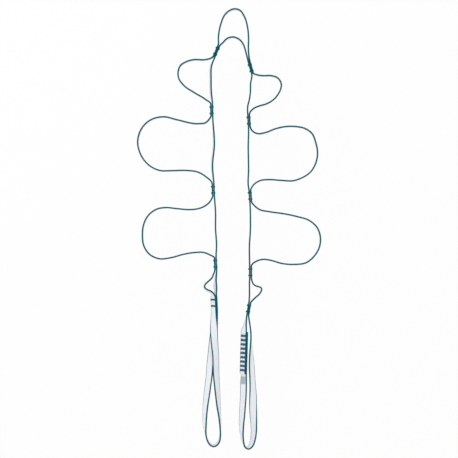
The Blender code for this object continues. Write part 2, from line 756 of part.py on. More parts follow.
def edge_heights(corners, x):
    """Where an upright line at x crosses the outline of a section."""
    heights = []
    for (x0, z0), (x1, z1) in zip(corners, corners[1:] + corners[:1]):
        if min(x0, x1) <= x <= max(x0, x1) and x0 != x1:
            heights.append(z0 + (z1 - z0) * (x - x0) / (x1 - x0))
    return heights


def laid_over(flat_place, roll, under):
    """A station whose tape lies over another tape, or on the surface beside it."""
    station = resting(flat_place, roll)
    below = section_corners(under.place, under.roll)
    above = section_corners(station.place, -roll)
    lift = 0.0
    for x in [corner[0] for corner in below + above]:
        tops, bottoms = edge_heights(below, x), edge_heights(above, x)
        if tops and bottoms:
            lift = max(lift, max(tops) + CROSSING_CLEARANCE - min(bottoms))
    station.place.z += lift
    return station


def loop_place(fold, length, spread, down, across):
    return Vector((fold.x + across * spread, fold.y - down * length, 0.0))


def build_left_loop(run, parent):
    """The left end loop: one tape, which crosses itself below the joint with a half twist."""
    body = make_body("left_5", run.matrix(run.length), parent)
    fold = run.fold()
    sizes = (fold, LEFT_LOOP_LENGTH, LEFT_LOOP_SPREAD)
    layer = pocket_layer(LEFT)
    outgoing, returning = [], []
    for down, across, roll, back_across, back_roll in LEFT_LOOP_CROSSING_SHARES:
        under = resting(loop_place(*sizes, down, across), math.radians(roll))
        outgoing.append(under)
        returning.append(laid_over(loop_place(*sizes, down, back_across), math.radians(back_roll), under))
    bight = [resting(loop_place(*sizes, down, across), math.radians(roll))
             for down, across, roll in LEFT_LOOP_BIGHT_SHARES]
    start = Station(run.place(run.length, -layer), run.roll)
    end = Station(run.place(run.length, layer), -math.pi - run.roll)
    stations = [start] + outgoing + bight + returning[::-1] + [end]
    line = thinned(smooth_line(stations, run.along, -run.along))
    loop = swept("end_loop_left", line, TAPE_SECTION, TAPE_LOOK)
    carry(body, loop)
    hollow_ends(run, (loop,), body, "fold_left_5")


def build_right_loop(run, parent):
    """The right end loop: the tape's two ends overlap in it and are sewn by rows of stitches."""
    body = make_body("right_5", run.matrix(run.length), parent)
    fold = run.fold()
    sizes = (fold, RIGHT_LOOP_LENGTH, RIGHT_LOOP_SPREAD)
    layer = pocket_layer(RIGHT)
    splice_start = loop_place(*sizes, SPLICE_DOWN_SHARE, SPLICE_ACROSS_SHARE)
    splice = Run(splice_start, SPLICE_HEADING, SPLICE_ROLL, SPLICE_RUN,
                 SPLICE_ROW_LENGTH, SPLICE_ROW_HEIGHT)

    tail_stations = [Station(run.place(run.length, -layer), run.roll)]
    for down, across, roll in RIGHT_TAIL_SHARES:
        tail_stations.append(resting(loop_place(*sizes, down, across), math.radians(roll)))
    tail_stations.append(Station(splice.place(0.0, LAYER_OFFSET), SPLICE_ROLL))
    tail_line = thinned(smooth_line(tail_stations, run.along, splice.along))
    tail_line.append(Station(splice.place(SPLICE_RUN, LAYER_OFFSET), SPLICE_ROLL))
    tail = swept("splice_tail", tail_line, TAPE_SECTION, TAPE_LOOK)

    under_end = Station(splice.place(SPLICE_RUN, -LAYER_OFFSET), SPLICE_ROLL)
    stations = [under_end] + [resting(loop_place(*sizes, down, across), math.radians(roll))
                              for down, across, roll in RIGHT_LOOP_SHARES]
    stations.append(Station(run.place(run.length, layer), math.pi + run.roll))
    loop_line = thinned(smooth_line(stations, splice.along, -run.along))
    line = [Station(splice.place(0.0, -LAYER_OFFSET), SPLICE_ROLL)] + loop_line
    loop = swept("end_loop_right", line, TAPE_SECTION, TAPE_LOOK)
    label = build_label(loop_line)

    carry(body, tail, loop, label)
    hollow_ends(run, (tail, loop), body, "fold_right_5")
    distances = [SPLICE_END_MARGIN + i * SPLICE_ROW_PITCH for i in range(SPLICE_ROWS)]
    names = [f"splice_row_{i + 1}" for i in range(SPLICE_ROWS)]
    sew(splice, distances, (tail, loop), ROW_MESH, ROW_NEEDLES, body, names)


def stretch_between(line, first, last):
    """The stations of a line between two distances from its start."""
    stretch = []
    travelled = 0.0
    for before, here in zip(line, line[1:]):
        span = (here.place - before.place).length
        for distance in (first, last):
            share = (distance - travelled) / span
            if 0.0 <= share < 1.0:
                place = before.place.lerp(here.place, share)
                stretch.append(Station(place, before.roll + (here.roll - before.roll) * share))
        travelled += span
        if first < travelled < last:
            stretch.append(here)
    return stretch


def build_label(loop_line):
    """A bare label that lies along the loop's tape, a little way below the splice."""
    lift = TAPE_THICKNESS / 2 + CLEARANCE + LABEL_THICKNESS / 2
    shift = LABEL_EDGE_MARGIN - (TAPE_WIDTH - LABEL_WIDTH) / 2
    on_tape = stretch_between(loop_line, LABEL_FROM_SPLICE, LABEL_FROM_SPLICE + LABEL_LENGTH)
    line = []
    for i, station in enumerate(on_tape):
        along = on_tape[min(i + 1, len(on_tape) - 1)].place - on_tape[max(i - 1, 0)].place
        right_hand = along.normalized().cross(UP).normalized()
        face = right_hand * math.cos(station.roll) - UP * math.sin(station.roll)
        width = UP * math.cos(station.roll) + right_hand * math.sin(station.roll)
        line.append(Station(station.place + face * lift + width * shift, station.roll))
    return swept("label", line, LABEL_SECTION, LABEL_LOOK)


def centre_on_origin(root):
    """Move the whole chain so that its outline's middle is at the origin."""
    bpy.context.view_layer.update()
    corners = [piece.matrix_world @ Vector(corner)
               for piece in PIECES.objects if piece.type == "MESH" for corner in piece.bound_box]
    low = Vector([min(corner[axis] for corner in corners) for axis in range(3)])
    high = Vector([max(corner[axis] for corner in corners) for axis in range(3)])
    middle = (low + high) / 2
    root.location.x -= middle.x
    root.location.y -= middle.y
    bpy.context.view_layer.update()


def print_folds():
    """Print where each fold line is and which way it points."""
    for body in PIECES.objects:
        if body.type == "EMPTY":
            place = body.matrix_world.translation
            axis = body.matrix_world.to_3x3().col[2]
            print(body.name, "fold at", [round(value, 6) for value in place],
                  "axis", [round(value, 6) for value in axis])


crown, left_first, right_first = build_crown()
left_last_body, left_last = build_leg(LEFT, "left", left_first, LEFT_STRETCHES, crown)
right_last_body, right_last = build_leg(RIGHT, "right", right_first, RIGHT_STRETCHES, crown)
build_left_loop(left_last, left_last_body)
build_right_loop(right_last, right_last_body)
centre_on_origin(crown)
print_folds()
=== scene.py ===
# %% [markdown]
# # A climbing daisy chain, dressed over its CAD frame
#
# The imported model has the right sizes, joints and weight, but its tape is a plain faceted bar.
# This lesson lays real woven tape, thread and a label over it. The fold lines and the tape's
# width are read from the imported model, and the tape between two folds is drawn in shares of the
# distance between them, so each piece lands where its CAD node is and moves with the same body.

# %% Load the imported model
import copy
import json
import math

import bmesh
import bpy
from mathutils import Matrix, Vector


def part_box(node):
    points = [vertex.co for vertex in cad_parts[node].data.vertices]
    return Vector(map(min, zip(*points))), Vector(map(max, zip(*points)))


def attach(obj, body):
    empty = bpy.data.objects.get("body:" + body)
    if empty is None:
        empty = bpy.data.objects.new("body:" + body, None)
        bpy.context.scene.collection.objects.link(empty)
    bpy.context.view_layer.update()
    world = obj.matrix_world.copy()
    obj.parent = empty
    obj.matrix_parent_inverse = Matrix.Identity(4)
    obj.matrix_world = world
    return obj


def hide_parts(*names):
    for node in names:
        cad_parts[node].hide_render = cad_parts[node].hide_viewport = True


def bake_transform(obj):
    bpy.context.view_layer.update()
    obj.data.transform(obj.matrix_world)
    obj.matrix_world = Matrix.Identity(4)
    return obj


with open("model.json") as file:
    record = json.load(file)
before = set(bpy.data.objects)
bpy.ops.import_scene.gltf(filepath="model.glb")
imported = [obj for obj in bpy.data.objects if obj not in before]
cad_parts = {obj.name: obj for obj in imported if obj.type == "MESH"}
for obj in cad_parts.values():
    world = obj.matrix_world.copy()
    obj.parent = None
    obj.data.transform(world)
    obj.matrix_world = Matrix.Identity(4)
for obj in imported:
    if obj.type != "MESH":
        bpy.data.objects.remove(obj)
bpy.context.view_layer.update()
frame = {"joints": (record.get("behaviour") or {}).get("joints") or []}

# %% [markdown]
# ## Sizes, read from the model where it has them
#
# The tape's width is the height of a pocket, because the tape stands on its edge. The fold
# lines come from the joints. A fold line is where doubled tape ends and the next pocket starts,
# so two of them, with the directions below, give every joint its place.

# %% Sizes of the tape and the joints
MM = 0.001
UP = Vector((0.0, 0.0, 1.0))
LEFT, RIGHT = -1, 1

pocket_low, pocket_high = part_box("pocket_left_2")
TAPE_WIDTH = pocket_high.z - pocket_low.z
TAPE_THICKNESS = 2.2 * MM
SELVEDGE_ROUNDING = 0.75 * MM
LAYER_GAP = 0.2 * MM
LAYER_OFFSET = (TAPE_THICKNESS + LAYER_GAP) / 2

BAR_SPACING = 9.0 * MM
TACK_MARGIN = 3.5 * MM
TACK_RUN = BAR_SPACING + 2 * TACK_MARGIN

FOLDS = {joint["child"]: Vector(joint["pos_m"]) for joint in frame["joints"]}
print("tape", round(TAPE_WIDTH / MM, 2), "mm wide;", len(FOLDS), "fold lines")

# %% [markdown]
# ## How the chain lies
#
# Each stretch of the chain is a pocket and the straight tape beside it, between two joints. A
# table of shares gives its outline: the first number is a share of the distance between the
# joints, the second a share of how far the pocket stands out, or of the same distance for the
# straight tape. Shares keep the outline's form when a size changes, which a list of plain
# millimetres wouldn't. The outlines are the solids' own, but for a few rows that follow the
# photograph up to 2 mm closer.

# %% Outlines of the crown
CROWN_SPREAD = FOLDS["right_1"].x - FOLDS["left_1"].x
CROWN_POCKET_RISE = 67.2 * MM
CROWN_ARCH_RISE = 27.4 * MM
CROWN_POCKET_SHARES = (
    (0.106, 0.406), (0.158, 0.648), (0.311, 0.911), (0.404, 0.969), (0.507, 1.000),
    (0.656, 0.980), (0.788, 0.841), (0.872, 0.615), (0.898, 0.406), (0.896, 0.131),
)
CROWN_ARCH_SHARES = (
    (0.228, 0.712), (0.330, 0.915), (0.486, 1.000), (0.663, 0.864), (0.766, 0.596),
    (0.825, 0.234),
)
LEFT_CROWN_HEADING = math.radians(23.0)
RIGHT_CROWN_HEADING = math.radians(16.0)
print("first folds", round(CROWN_SPREAD / MM, 1), "mm apart")

# %% Outlines of the pockets
LEFT_1_SHARES = (
    (0.034, 0.076), (0.080, 0.245), (0.096, 0.580), (0.144, 0.775), (0.234, 0.940),
    (0.336, 0.990), (0.490, 0.970), (0.643, 0.807), (0.779, 0.500), (0.901, 0.189),
)
LEFT_2_SHARES = (
    (0.048, 0.035), (0.102, 0.086), (0.114, 0.177), (0.050, 0.473), (0.005, 0.640),
    (0.038, 0.804), (0.122, 0.910), (0.240, 0.976), (0.374, 1.000), (0.507, 0.978),
    (0.650, 0.906), (0.747, 0.802), (0.792, 0.690), (0.794, 0.587), (0.797, 0.321),
    (0.814, 0.219), (0.888, 0.097),
)
LEFT_3_SHARES = (
    (0.077, 0.038), (0.160, 0.114), (0.207, 0.222), (0.217, 0.326), (0.195, 0.515),
    (0.174, 0.664), (0.190, 0.777), (0.293, 0.911), (0.442, 0.979), (0.602, 0.998),
    (0.772, 0.983), (0.912, 0.906), (0.983, 0.786), (0.972, 0.600), (0.929, 0.449),
    (0.904, 0.300), (0.908, 0.151), (0.949, 0.070),
)
LEFT_4_SHARES = (
    (0.100, 0.115), (0.195, 0.205), (0.305, 0.300), (0.385, 0.480), (0.465, 0.705),
    (0.562, 0.935), (0.652, 1.000), (0.726, 0.880), (0.778, 0.620), (0.812, 0.370),
)
RIGHT_1_SHARES = (
    (0.030, 0.150), (0.040, 0.342), (0.022, 0.605), (0.057, 0.831), (0.130, 0.934),
    (0.215, 0.981), (0.325, 0.969), (0.471, 0.886), (0.610, 0.736), (0.697, 0.563),
    (0.782, 0.280), (0.844, 0.138),
)
RIGHT_2_SHARES = (
    (0.090, 0.058), (0.121, 0.132), (0.105, 0.234), (0.044, 0.392), (0.015, 0.527),
    (0.015, 0.684), (0.045, 0.815), (0.128, 0.923), (0.265, 0.974), (0.429, 1.000),
    (0.596, 0.969), (0.727, 0.892), (0.813, 0.768), (0.855, 0.655), (0.850, 0.452),
    (0.837, 0.273), (0.852, 0.150), (0.912, 0.060), (0.965, 0.024),
)
RIGHT_3_SHARES = (
    (0.057, 0.047), (0.120, 0.122), (0.157, 0.274), (0.186, 0.470), (0.230, 0.667),
    (0.291, 0.843), (0.401, 0.954), (0.556, 1.000), (0.695, 0.986), (0.843, 0.906),
    (0.935, 0.800), (0.964, 0.625), (0.950, 0.449), (0.904, 0.296), (0.888, 0.187),
    (0.906, 0.108),
)
RIGHT_4_SHARES = (
    (0.142, 0.150), (0.262, 0.300), (0.318, 0.520), (0.346, 0.780), (0.385, 0.945),
    (0.450, 0.985), (0.530, 0.930), (0.620, 0.820), (0.740, 0.560), (0.893, 0.232),
)

# %% How the straight tape bows beside each pocket
LEFT_1_BOW_SHARES = ((0.200, 0.074), (0.480, 0.070), (0.740, 0.050))
LEFT_2_BOW_SHARES = ((0.430, -0.009), (0.730, 0.023))
LEFT_3_BOW_SHARES = ((0.270, -0.011), (0.540, -0.004), (0.790, -0.013))
LEFT_4_BOW_SHARES = ((0.400, 0.009), (0.740, -0.014))
RIGHT_1_BOW_SHARES = ((0.260, 0.000), (0.460, 0.013), (0.640, 0.005), (0.800, -0.019))
RIGHT_2_BOW_SHARES = ((0.330, -0.006), (0.690, -0.004), (0.930, -0.010))
RIGHT_3_BOW_SHARES = ((0.300, 0.010), (0.480, 0.008), (0.640, -0.003))
RIGHT_4_BOW_SHARES = ((0.200, -0.003), (0.450, 0.006), (0.780, 0.014))

# %% [markdown]
# In the end loops the tape also rolls over, so each row there has an angle as well. The left
# loop's two strands cross below the joint with a half twist, and the rows give both at once:
# where the lower strand lies, and where the upper strand passes over it.

# %% Outlines of the end loops
LEFT_LOOP_LENGTH = 195.7 * MM
LEFT_LOOP_SPREAD = 22.7 * MM
RIGHT_LOOP_LENGTH = 191.3 * MM
RIGHT_LOOP_SPREAD = 22.7 * MM
LEFT_LOOP_CROSSING_SHARES = (
    (0.072, 0.025, -45.0, -0.038, -130.0),
    (0.144, -0.020, -58.0, -0.040, -98.0),
    (0.202, -0.075, -66.0, -0.025, -75.0),
    (0.267, -0.138, -68.0, 0.012, -64.0),
    (0.347, -0.210, -65.0, 0.066, -56.0),
    (0.419, -0.288, -58.0, 0.080, -53.0),
    (0.484, -0.325, -56.0, 0.095, -50.0),
)
LEFT_LOOP_BIGHT_SHARES = (
    (0.564, -0.410, -53.0), (0.636, -0.485, -48.0), (0.708, -0.560, -40.0),
    (0.781, -0.606, -33.0), (0.855, -0.606, -22.0), (0.915, -0.556, -6.0),
    (0.960, -0.444, 0.0), (0.988, -0.288, 3.0), (1.000, -0.069, 7.0), (0.991, 0.125, 9.0),
    (0.965, 0.288, 8.0), (0.930, 0.352, 4.0), (0.871, 0.363, -3.0), (0.795, 0.325, -12.0),
    (0.705, 0.245, -27.0), (0.614, 0.180, -37.0), (0.542, 0.130, -44.0),
)
RIGHT_TAIL_SHARES = ((0.045, -0.115, -6.0), (0.088, -0.180, -22.0))
RIGHT_LOOP_SHARES = (
    (0.520, -0.262, -53.0), (0.600, -0.272, -51.0), (0.675, -0.312, -49.0),
    (0.748, -0.350, -45.0), (0.830, -0.388, -34.0), (0.904, -0.366, -20.0),
    (0.956, -0.290, -10.0), (0.988, -0.165, 2.0), (0.995, 0.050, 15.0), (0.975, 0.215, 28.0),
    (0.934, 0.320, 38.0), (0.882, 0.380, 44.0), (0.823, 0.380, 52.0), (0.748, 0.350, 72.0),
    (0.689, 0.331, 90.0), (0.622, 0.325, 108.0), (0.548, 0.306, 127.0), (0.474, 0.275, 135.0),
    (0.385, 0.238, 138.0), (0.303, 0.206, 154.0), (0.229, 0.194, 172.0), (0.154, 0.194, 180.0),
    (0.095, 0.150, 180.0), (0.043, 0.084, 180.0),
)
SPLICE_DOWN_SHARE = 0.132
SPLICE_ACROSS_SHARE = -0.206
SPLICE_HEADING = math.radians(-1.6)
SPLICE_ROLL = math.radians(-43.0)

# %% [markdown]
# ## Carrying a line along the tape
#
# Tape that lies on its edge needs two things at each point: a place, and a roll about the way
# it runs. A Station holds both. A Run is a short straight piece of doubled tape, where a joint
# is sewn. Between the runs a cubic line passes through the stations, which a Bezier curve could
# do too, but here the roll must follow by the same rule, so the line is worked out by hand.

# %% Resting heights and headings
def rest_height(roll):
    """Height of the tape's middle when its lowest edge is at z = 0, where the chain lies."""
    return (TAPE_WIDTH * abs(math.cos(roll)) + TAPE_THICKNESS * abs(math.sin(roll))) / 2


def heading_vector(heading):
    """A level direction, as an angle from straight down the leg toward +X."""
    return Vector((math.sin(heading), -math.cos(heading), 0.0))


# %% Stations and runs
class Station:
    """A point that a tape passes through, with its roll there."""

    def __init__(self, place, roll):
        self.place = place
        self.roll = roll


class Run:
    """A straight run of doubled tape, given by its end. A joint's run ends at its fold line."""

    def __init__(self, end, heading, roll, length):
        self.along = heading_vector(heading)
        self.heading = heading
        self.roll = roll
        self.length = length
        self.end = end
        right_hand = self.along.cross(UP)
        self.face = right_hand * math.cos(roll) - UP * math.sin(roll)
        self.width = UP * math.cos(roll) + right_hand * math.sin(roll)

    def place(self, distance, offset=0.0):
        return self.end + self.along * (distance - self.length) + self.face * offset

    def station(self, distance, offset):
        return Station(self.place(distance, offset), self.roll)

    def matrix(self, distance):
        axes = Matrix((self.face, self.along, self.width)).transposed().to_4x4()
        return Matrix.Translation(self.place(distance)) @ axes


def joint_run(body, heading, roll=0.0):
    """The doubled tape of the sewn joint above a body's fold line."""
    return Run(FOLDS[body], heading, roll, TACK_RUN)


def resting(flat_place, roll):
    """A station where the tape's lowest edge is at z = 0."""
    return Station(Vector((flat_place.x, flat_place.y, rest_height(roll))), roll)


# %% A smooth line through stations
SPAN_DIVISIONS = 16


def smooth_line(stations, first_along, last_along):
    """Dense stations on a cubic line through the given ones, leaving and arriving straight."""
    places = [station.place for station in stations]
    rolls = [station.roll for station in stations]
    spans = [(after - before).length for before, after in zip(places, places[1:])]
    slopes, roll_slopes = [first_along], [0.0]
    for i in range(1, len(places) - 1):
        before, after = spans[i - 1], spans[i]
        into, out_of = (places[i] - places[i - 1]) / before, (places[i + 1] - places[i]) / after
        slopes.append((into * after + out_of * before) / (before + after))
        roll_into, roll_out = (rolls[i] - rolls[i - 1]) / before, (rolls[i + 1] - rolls[i]) / after
        roll_slopes.append((roll_into * after + roll_out * before) / (before + after))
    slopes.append(last_along)
    roll_slopes.append(0.0)
    line = [stations[0]]
    for i, span in enumerate(spans):
        for step in range(1, SPAN_DIVISIONS + 1):
            t = step / SPAN_DIVISIONS
            start_part, end_part = 2 * t**3 - 3 * t**2 + 1, 3 * t**2 - 2 * t**3
            start_slope, end_slope = (t**3 - 2 * t**2 + t) * span, (t**3 - t**2) * span
            roll = (rolls[i] * start_part + roll_slopes[i] * start_slope
                    + rolls[i + 1] * end_part + roll_slopes[i + 1] * end_slope)
            place = (places[i] * start_part + slopes[i] * start_slope
                     + places[i + 1] * end_part + slopes[i + 1] * end_slope)
            place.z = max(place.z, rest_height(roll))
            line.append(Station(place, roll))
    return line


# %% [markdown]
# ## The tape itself
#
# A curve with a bevel object would carry a section along the line, but its mesh has no map that
# says how far along and how far across the tape each point is, and the weave needs both. So the
# tape is made ring by ring: at each station the section's points are placed, and neighbouring
# rings are joined by faces. The section is flat with rounded edges, as a tape's selvedges are.

# %% The tape's section
ROUNDING_STEPS = 4
FACE_STEPS = 3


def tape_section(width, thickness, rounding):
    """Points round the section: (out from the face, across the width)."""
    corners = ((1, 1, 0.0), (-1, 1, 90.0), (-1, -1, 180.0), (1, -1, 270.0))
    points = []
    for face_side, edge_side, first_angle in corners:
        for step in range(ROUNDING_STEPS + 1):
            angle = math.radians(first_angle + 90.0 * step / ROUNDING_STEPS)
            points.append((face_side * (thickness / 2 - rounding) + rounding * math.cos(angle),
                           edge_side * (width / 2 - rounding) + rounding * math.sin(angle)))
        if face_side == -edge_side:
            start = points[-1]
            for step in range(1, FACE_STEPS):
                share = step / FACE_STEPS
                points.append((start[0], start[1] * (1 - 2 * share)))
    return points


TAPE_SECTION = tape_section(TAPE_WIDTH, TAPE_THICKNESS, SELVEDGE_ROUNDING)
print("points round the tape", len(TAPE_SECTION))

# %% Rings along a line
RING_STEP = 1.2 * MM


class Ring:
    """Where one section of a tape lies: its middle, its axes and how far along the tape it is."""

    def __init__(self, place, along, roll, travelled):
        right_hand = along.cross(UP).normalized()
        upright = right_hand.cross(along)
        self.place = place
        self.face = right_hand * math.cos(roll) - upright * math.sin(roll)
        self.width = upright * math.cos(roll) + right_hand * math.sin(roll)
        self.travelled = travelled

    def shifted(self, out, across):
        """The same ring, moved out from the tape's face and across its width."""
        ring = copy.copy(self)
        ring.place = self.place + self.face * out + self.width * across
        return ring


def rings_along(line):
    """Evenly spaced rings on a dense line, first and last included."""
    kept, gone = [0], 0.0
    for i in range(1, len(line)):
        gone += (line[i].place - line[i - 1].place).length
        if gone >= RING_STEP:
            kept.append(i)
            gone = 0.0
    if kept[-1] != len(line) - 1:
        if gone < RING_STEP / 2 and len(kept) > 2:
            kept.pop()
        kept.append(len(line) - 1)
    rings, travelled = [], 0.0
    for n, i in enumerate(kept):
        before, after = line[max(i - 1, 0)].place, line[min(i + 1, len(line) - 1)].place
        if n:
            travelled += (line[i].place - line[kept[n - 1]].place).length
        rings.append(Ring(line[i].place, (after - before).normalized(), line[i].roll, travelled))
    return rings


# %% Skin the rings
TAPE_MAP = "along_and_across"
SHARP_ANGLE = math.radians(50.0)


def finished_mesh(work, name):
    """The smooth mesh of a bmesh, with its faces turned outward."""
    bmesh.ops.recalc_face_normals(work, faces=work.faces)
    mesh = bpy.data.meshes.new(name)
    work.to_mesh(mesh)
    work.free()
    mesh.shade_smooth()
    return mesh


def tape_mesh(name, rings, section):
    """A closed strip of the section, with a map in millimetres along and across it."""
    work = bmesh.new()
    layer = work.loops.layers.uv.new(TAPE_MAP)
    loops = [[work.verts.new(ring.place + ring.face * out + ring.width * across)
              for out, across in section] for ring in rings]
    count = len(section)
    for near, far, here, there in zip(loops, loops[1:], rings, rings[1:]):
        for i in range(count):
            k = (i + 1) % count
            face = work.faces.new((near[i], near[k], far[k], far[i]))
            spots = ((here, i), (here, k), (there, k), (there, i))
            for loop, (ring, point) in zip(face.loops, spots):
                loop[layer].uv = (ring.travelled / MM, section[point][1] / MM)
    for corners, ring in ((loops[0], rings[0]), (loops[-1], rings[-1])):
        cap = work.faces.new(corners)
        for loop, point in zip(cap.loops, section):
            loop[layer].uv = (ring.travelled / MM + point[0] / MM, point[1] / MM)
    mesh = finished_mesh(work, name)
    mesh.set_sharp_from_angle(angle=SHARP_ANGLE)
    return mesh


def add_piece(name, mesh, material):
    mesh.materials.clear()
    mesh.materials.append(material)
    piece = bpy.data.objects.new(name, mesh)
    bpy.context.scene.collection.objects.link(piece)
    return piece


# %% [markdown]
# ## Finishes
#
# Real webbing isn't one colour. Its faces are a pale herringbone weave, and its two selvedges
# are woven from dark teal yarn, which wraps a little way onto each face. A shader can draw all
# of that from the map in millimetres. The weave and the fibre are node groups, because the tape,
# the label and the thread share them with other values.

# %% Small helpers for nodes
def new_group(name, inputs, outputs):
    """A shader node group with named number inputs and outputs."""
    group = bpy.data.node_groups.new(name, "ShaderNodeTree")
    for label, value in inputs:
        socket = group.interface.new_socket(label, in_out="INPUT", socket_type="NodeSocketFloat")
        socket.default_value = value
    for label in outputs:
        group.interface.new_socket(label, in_out="OUTPUT", socket_type="NodeSocketFloat")
    return group, group.nodes.new("NodeGroupInput"), group.nodes.new("NodeGroupOutput")


def feed(tree, socket, value):
    """Join another node's socket, or set a plain value."""
    if isinstance(value, bpy.types.NodeSocket):
        tree.links.new(value, socket)
    else:
        socket.default_value = value


def maths(tree, operation, first, second=0.0, third=0.0):
    node = tree.nodes.new("ShaderNodeMath")
    node.operation = operation
    for socket, value in zip(node.inputs, (first, second, third)):
        feed(tree, socket, value)
    return node.outputs[0]


def smooth_step(tree, value, low, high):
    """0 below low, 1 above high, and a soft change between them."""
    node = tree.nodes.new("ShaderNodeMapRange")
    node.interpolation_type = "SMOOTHSTEP"
    for label, given in (("Value", value), ("From Min", low), ("From Max", high)):
        feed(tree, node.inputs[label], given)
    return node.outputs["Result"]


def mixed(tree, share, first, second):
    """A colour between two others."""
    node = tree.nodes.new("ShaderNodeMix")
    node.data_type = "RGBA"
    for index, value in ((0, share), (6, first), (7, second)):
        feed(tree, node.inputs[index], value)
    return node.outputs[2]


NOISE_DETAIL = 3.0


def fine_noise(tree, coordinates, scale):
    node = tree.nodes.new("ShaderNodeTexNoise")
    tree.links.new(coordinates, node.inputs["Vector"])
    node.inputs["Scale"].default_value = scale
    node.inputs["Detail"].default_value = NOISE_DETAIL
    return node.outputs["Fac"]


# %% [markdown]
# A herringbone is a set of slanted ridges whose slant turns over every few yarns. The group
# folds the distance across the tape into a zigzag, adds it to the distance along, and takes the
# sine. Finer ribs along the tape are the warp yarns. Both give a height for the bump and a shade.

# %% The weave group
RIDGE_SLANT = 2.4
RIDGE_RELIEF, RIB_RELIEF = 0.3, 0.2


def build_weave():
    inputs = (("Along", 0.0), ("Across", 0.0), ("Ridge pitch", 1.0), ("Band width", 2.2),
              ("Yarn pitch", 0.55))
    group, given, result = new_group("herringbone_weave", inputs, ("Height", "Shade"))
    bands = maths(group, "DIVIDE", given.outputs["Across"], given.outputs["Band width"])
    zigzag = maths(group, "PINGPONG", bands, 0.5)
    along = maths(group, "DIVIDE", given.outputs["Along"], given.outputs["Ridge pitch"])
    phase = maths(group, "MULTIPLY_ADD", zigzag, RIDGE_SLANT, along)
    ridge = maths(group, "SINE", maths(group, "MULTIPLY", phase, math.tau))
    yarns = maths(group, "DIVIDE", given.outputs["Across"], given.outputs["Yarn pitch"])
    rib = maths(group, "SINE", maths(group, "MULTIPLY", yarns, math.tau))
    ribs = maths(group, "MULTIPLY_ADD", rib, RIB_RELIEF, 0.5)
    height = maths(group, "MULTIPLY_ADD", ridge, RIDGE_RELIEF, ribs)
    group.links.new(height, result.inputs["Height"])
    group.links.new(smooth_step(group, height, 0.05, 0.75), result.inputs["Shade"])
    return group


WEAVE = build_weave()
print("node group", WEAVE.name, "with", len(WEAVE.nodes), "nodes")


# %% The twisted fibre group
PLIES = 2.0


def build_fibre():
    """Plies that wind round a thread: a sine across a slanted line on its map."""
    inputs = (("Along", 0.0), ("Around", 0.0), ("Twist pitch", 0.8))
    group, given, result = new_group("twisted_fibre", inputs, ("Height", "Shade"))
    along = maths(group, "DIVIDE", given.outputs["Along"], given.outputs["Twist pitch"])
    phase = maths(group, "MULTIPLY_ADD", given.outputs["Around"], PLIES, along)
    ply = maths(group, "SINE", maths(group, "MULTIPLY", phase, math.tau))
    height = maths(group, "MULTIPLY_ADD", ply, 0.5, 0.5)
    group.links.new(height, result.inputs["Height"])
    group.links.new(smooth_step(group, height, 0.1, 0.9), result.inputs["Shade"])
    return group


FIBRE = build_fibre()
print("node group", FIBRE.name, "with", len(FIBRE.nodes), "nodes")


# %% Placing a group in a material
def new_material(name, gloss):
    """A material with its shader, and the sockets of the map in millimetres."""
    material = bpy.data.materials.new(name)
    material.use_nodes = True
    tree = material.node_tree
    shader = tree.nodes["Principled BSDF"]
    shader.inputs["Specular IOR Level"].default_value = gloss
    coordinates = tree.nodes.new("ShaderNodeUVMap")
    coordinates.uv_map = TAPE_MAP
    split = tree.nodes.new("ShaderNodeSeparateXYZ")
    tree.links.new(coordinates.outputs["UV"], split.inputs["Vector"])
    return material, tree, shader, coordinates.outputs["UV"], split.outputs["X"], split.outputs["Y"]


def place_group(tree, group, **values):
    node = tree.nodes.new("ShaderNodeGroup")
    node.node_tree = group
    for label, value in values.items():
        feed(tree, node.inputs[label.replace("_", " ")], value)
    return node


def roughened(tree, shader, wear, least, spread):
    """Make the roughness follow the wear, up from a least value."""
    rough = maths(tree, "MULTIPLY_ADD", wear, spread, least)
    tree.links.new(rough, shader.inputs["Roughness"])


def bumped(tree, shader, height, strength, distance):
    """Turn a height into a bump on the shader's normal."""
    bump = tree.nodes.new("ShaderNodeBump")
    bump.inputs["Strength"].default_value = strength
    bump.inputs["Distance"].default_value = distance
    tree.links.new(height, bump.inputs["Height"])
    tree.links.new(bump.outputs["Normal"], shader.inputs["Normal"])


# %% [markdown]
# The tape's material mixes two colours by how near a point is to an edge. The change isn't a
# clean line on a real tape, because single pale yarns cross into the selvedge, so the weave's
# shade moves it in and out a little. Woven yarn scatters light, so there is hardly any gloss,
# which would also wash out the teal.

# %% Woven tape with dark selvedges
FACE_PALE = (0.92, 0.93, 0.96, 1.0)
FACE_SHADED = (0.76, 0.81, 0.88, 1.0)
SELVEDGE_DARK = (0.0003, 0.070, 0.100, 1.0)
SELVEDGE_LIGHT = (0.002, 0.205, 0.256, 1.0)
SELVEDGE_REACH = 1.4
SELVEDGE_FADE = (0.15, 0.25)
SELVEDGE_RAGGEDNESS = 0.35
TAPE_GLOSS = 0.05


def tape_material():
    material, tree, shader, plane, along, across = new_material("woven_tape", TAPE_GLOSS)
    weave = place_group(tree, WEAVE, Along=along, Across=across)
    wear = fine_noise(tree, plane, 0.35)
    face = mixed(tree, weave.outputs["Shade"], FACE_SHADED, FACE_PALE)
    edge = mixed(tree, maths(tree, "MULTIPLY", weave.outputs["Shade"], wear),
                 SELVEDGE_DARK, SELVEDGE_LIGHT)
    inner = TAPE_WIDTH / MM / 2 - SELVEDGE_REACH
    from_middle = maths(tree, "ABSOLUTE", across)
    ragged = maths(tree, "MULTIPLY_ADD", weave.outputs["Shade"], -SELVEDGE_RAGGEDNESS, from_middle)
    at_edge = smooth_step(tree, ragged, inner - SELVEDGE_FADE[0], inner + SELVEDGE_FADE[1])
    tree.links.new(mixed(tree, at_edge, face, edge), shader.inputs["Base Color"])
    roughened(tree, shader, wear, least=0.58, spread=0.3)
    bumped(tree, shader, weave.outputs["Height"], strength=0.5, distance=0.25 * MM)
    return material


TAPE = tape_material()


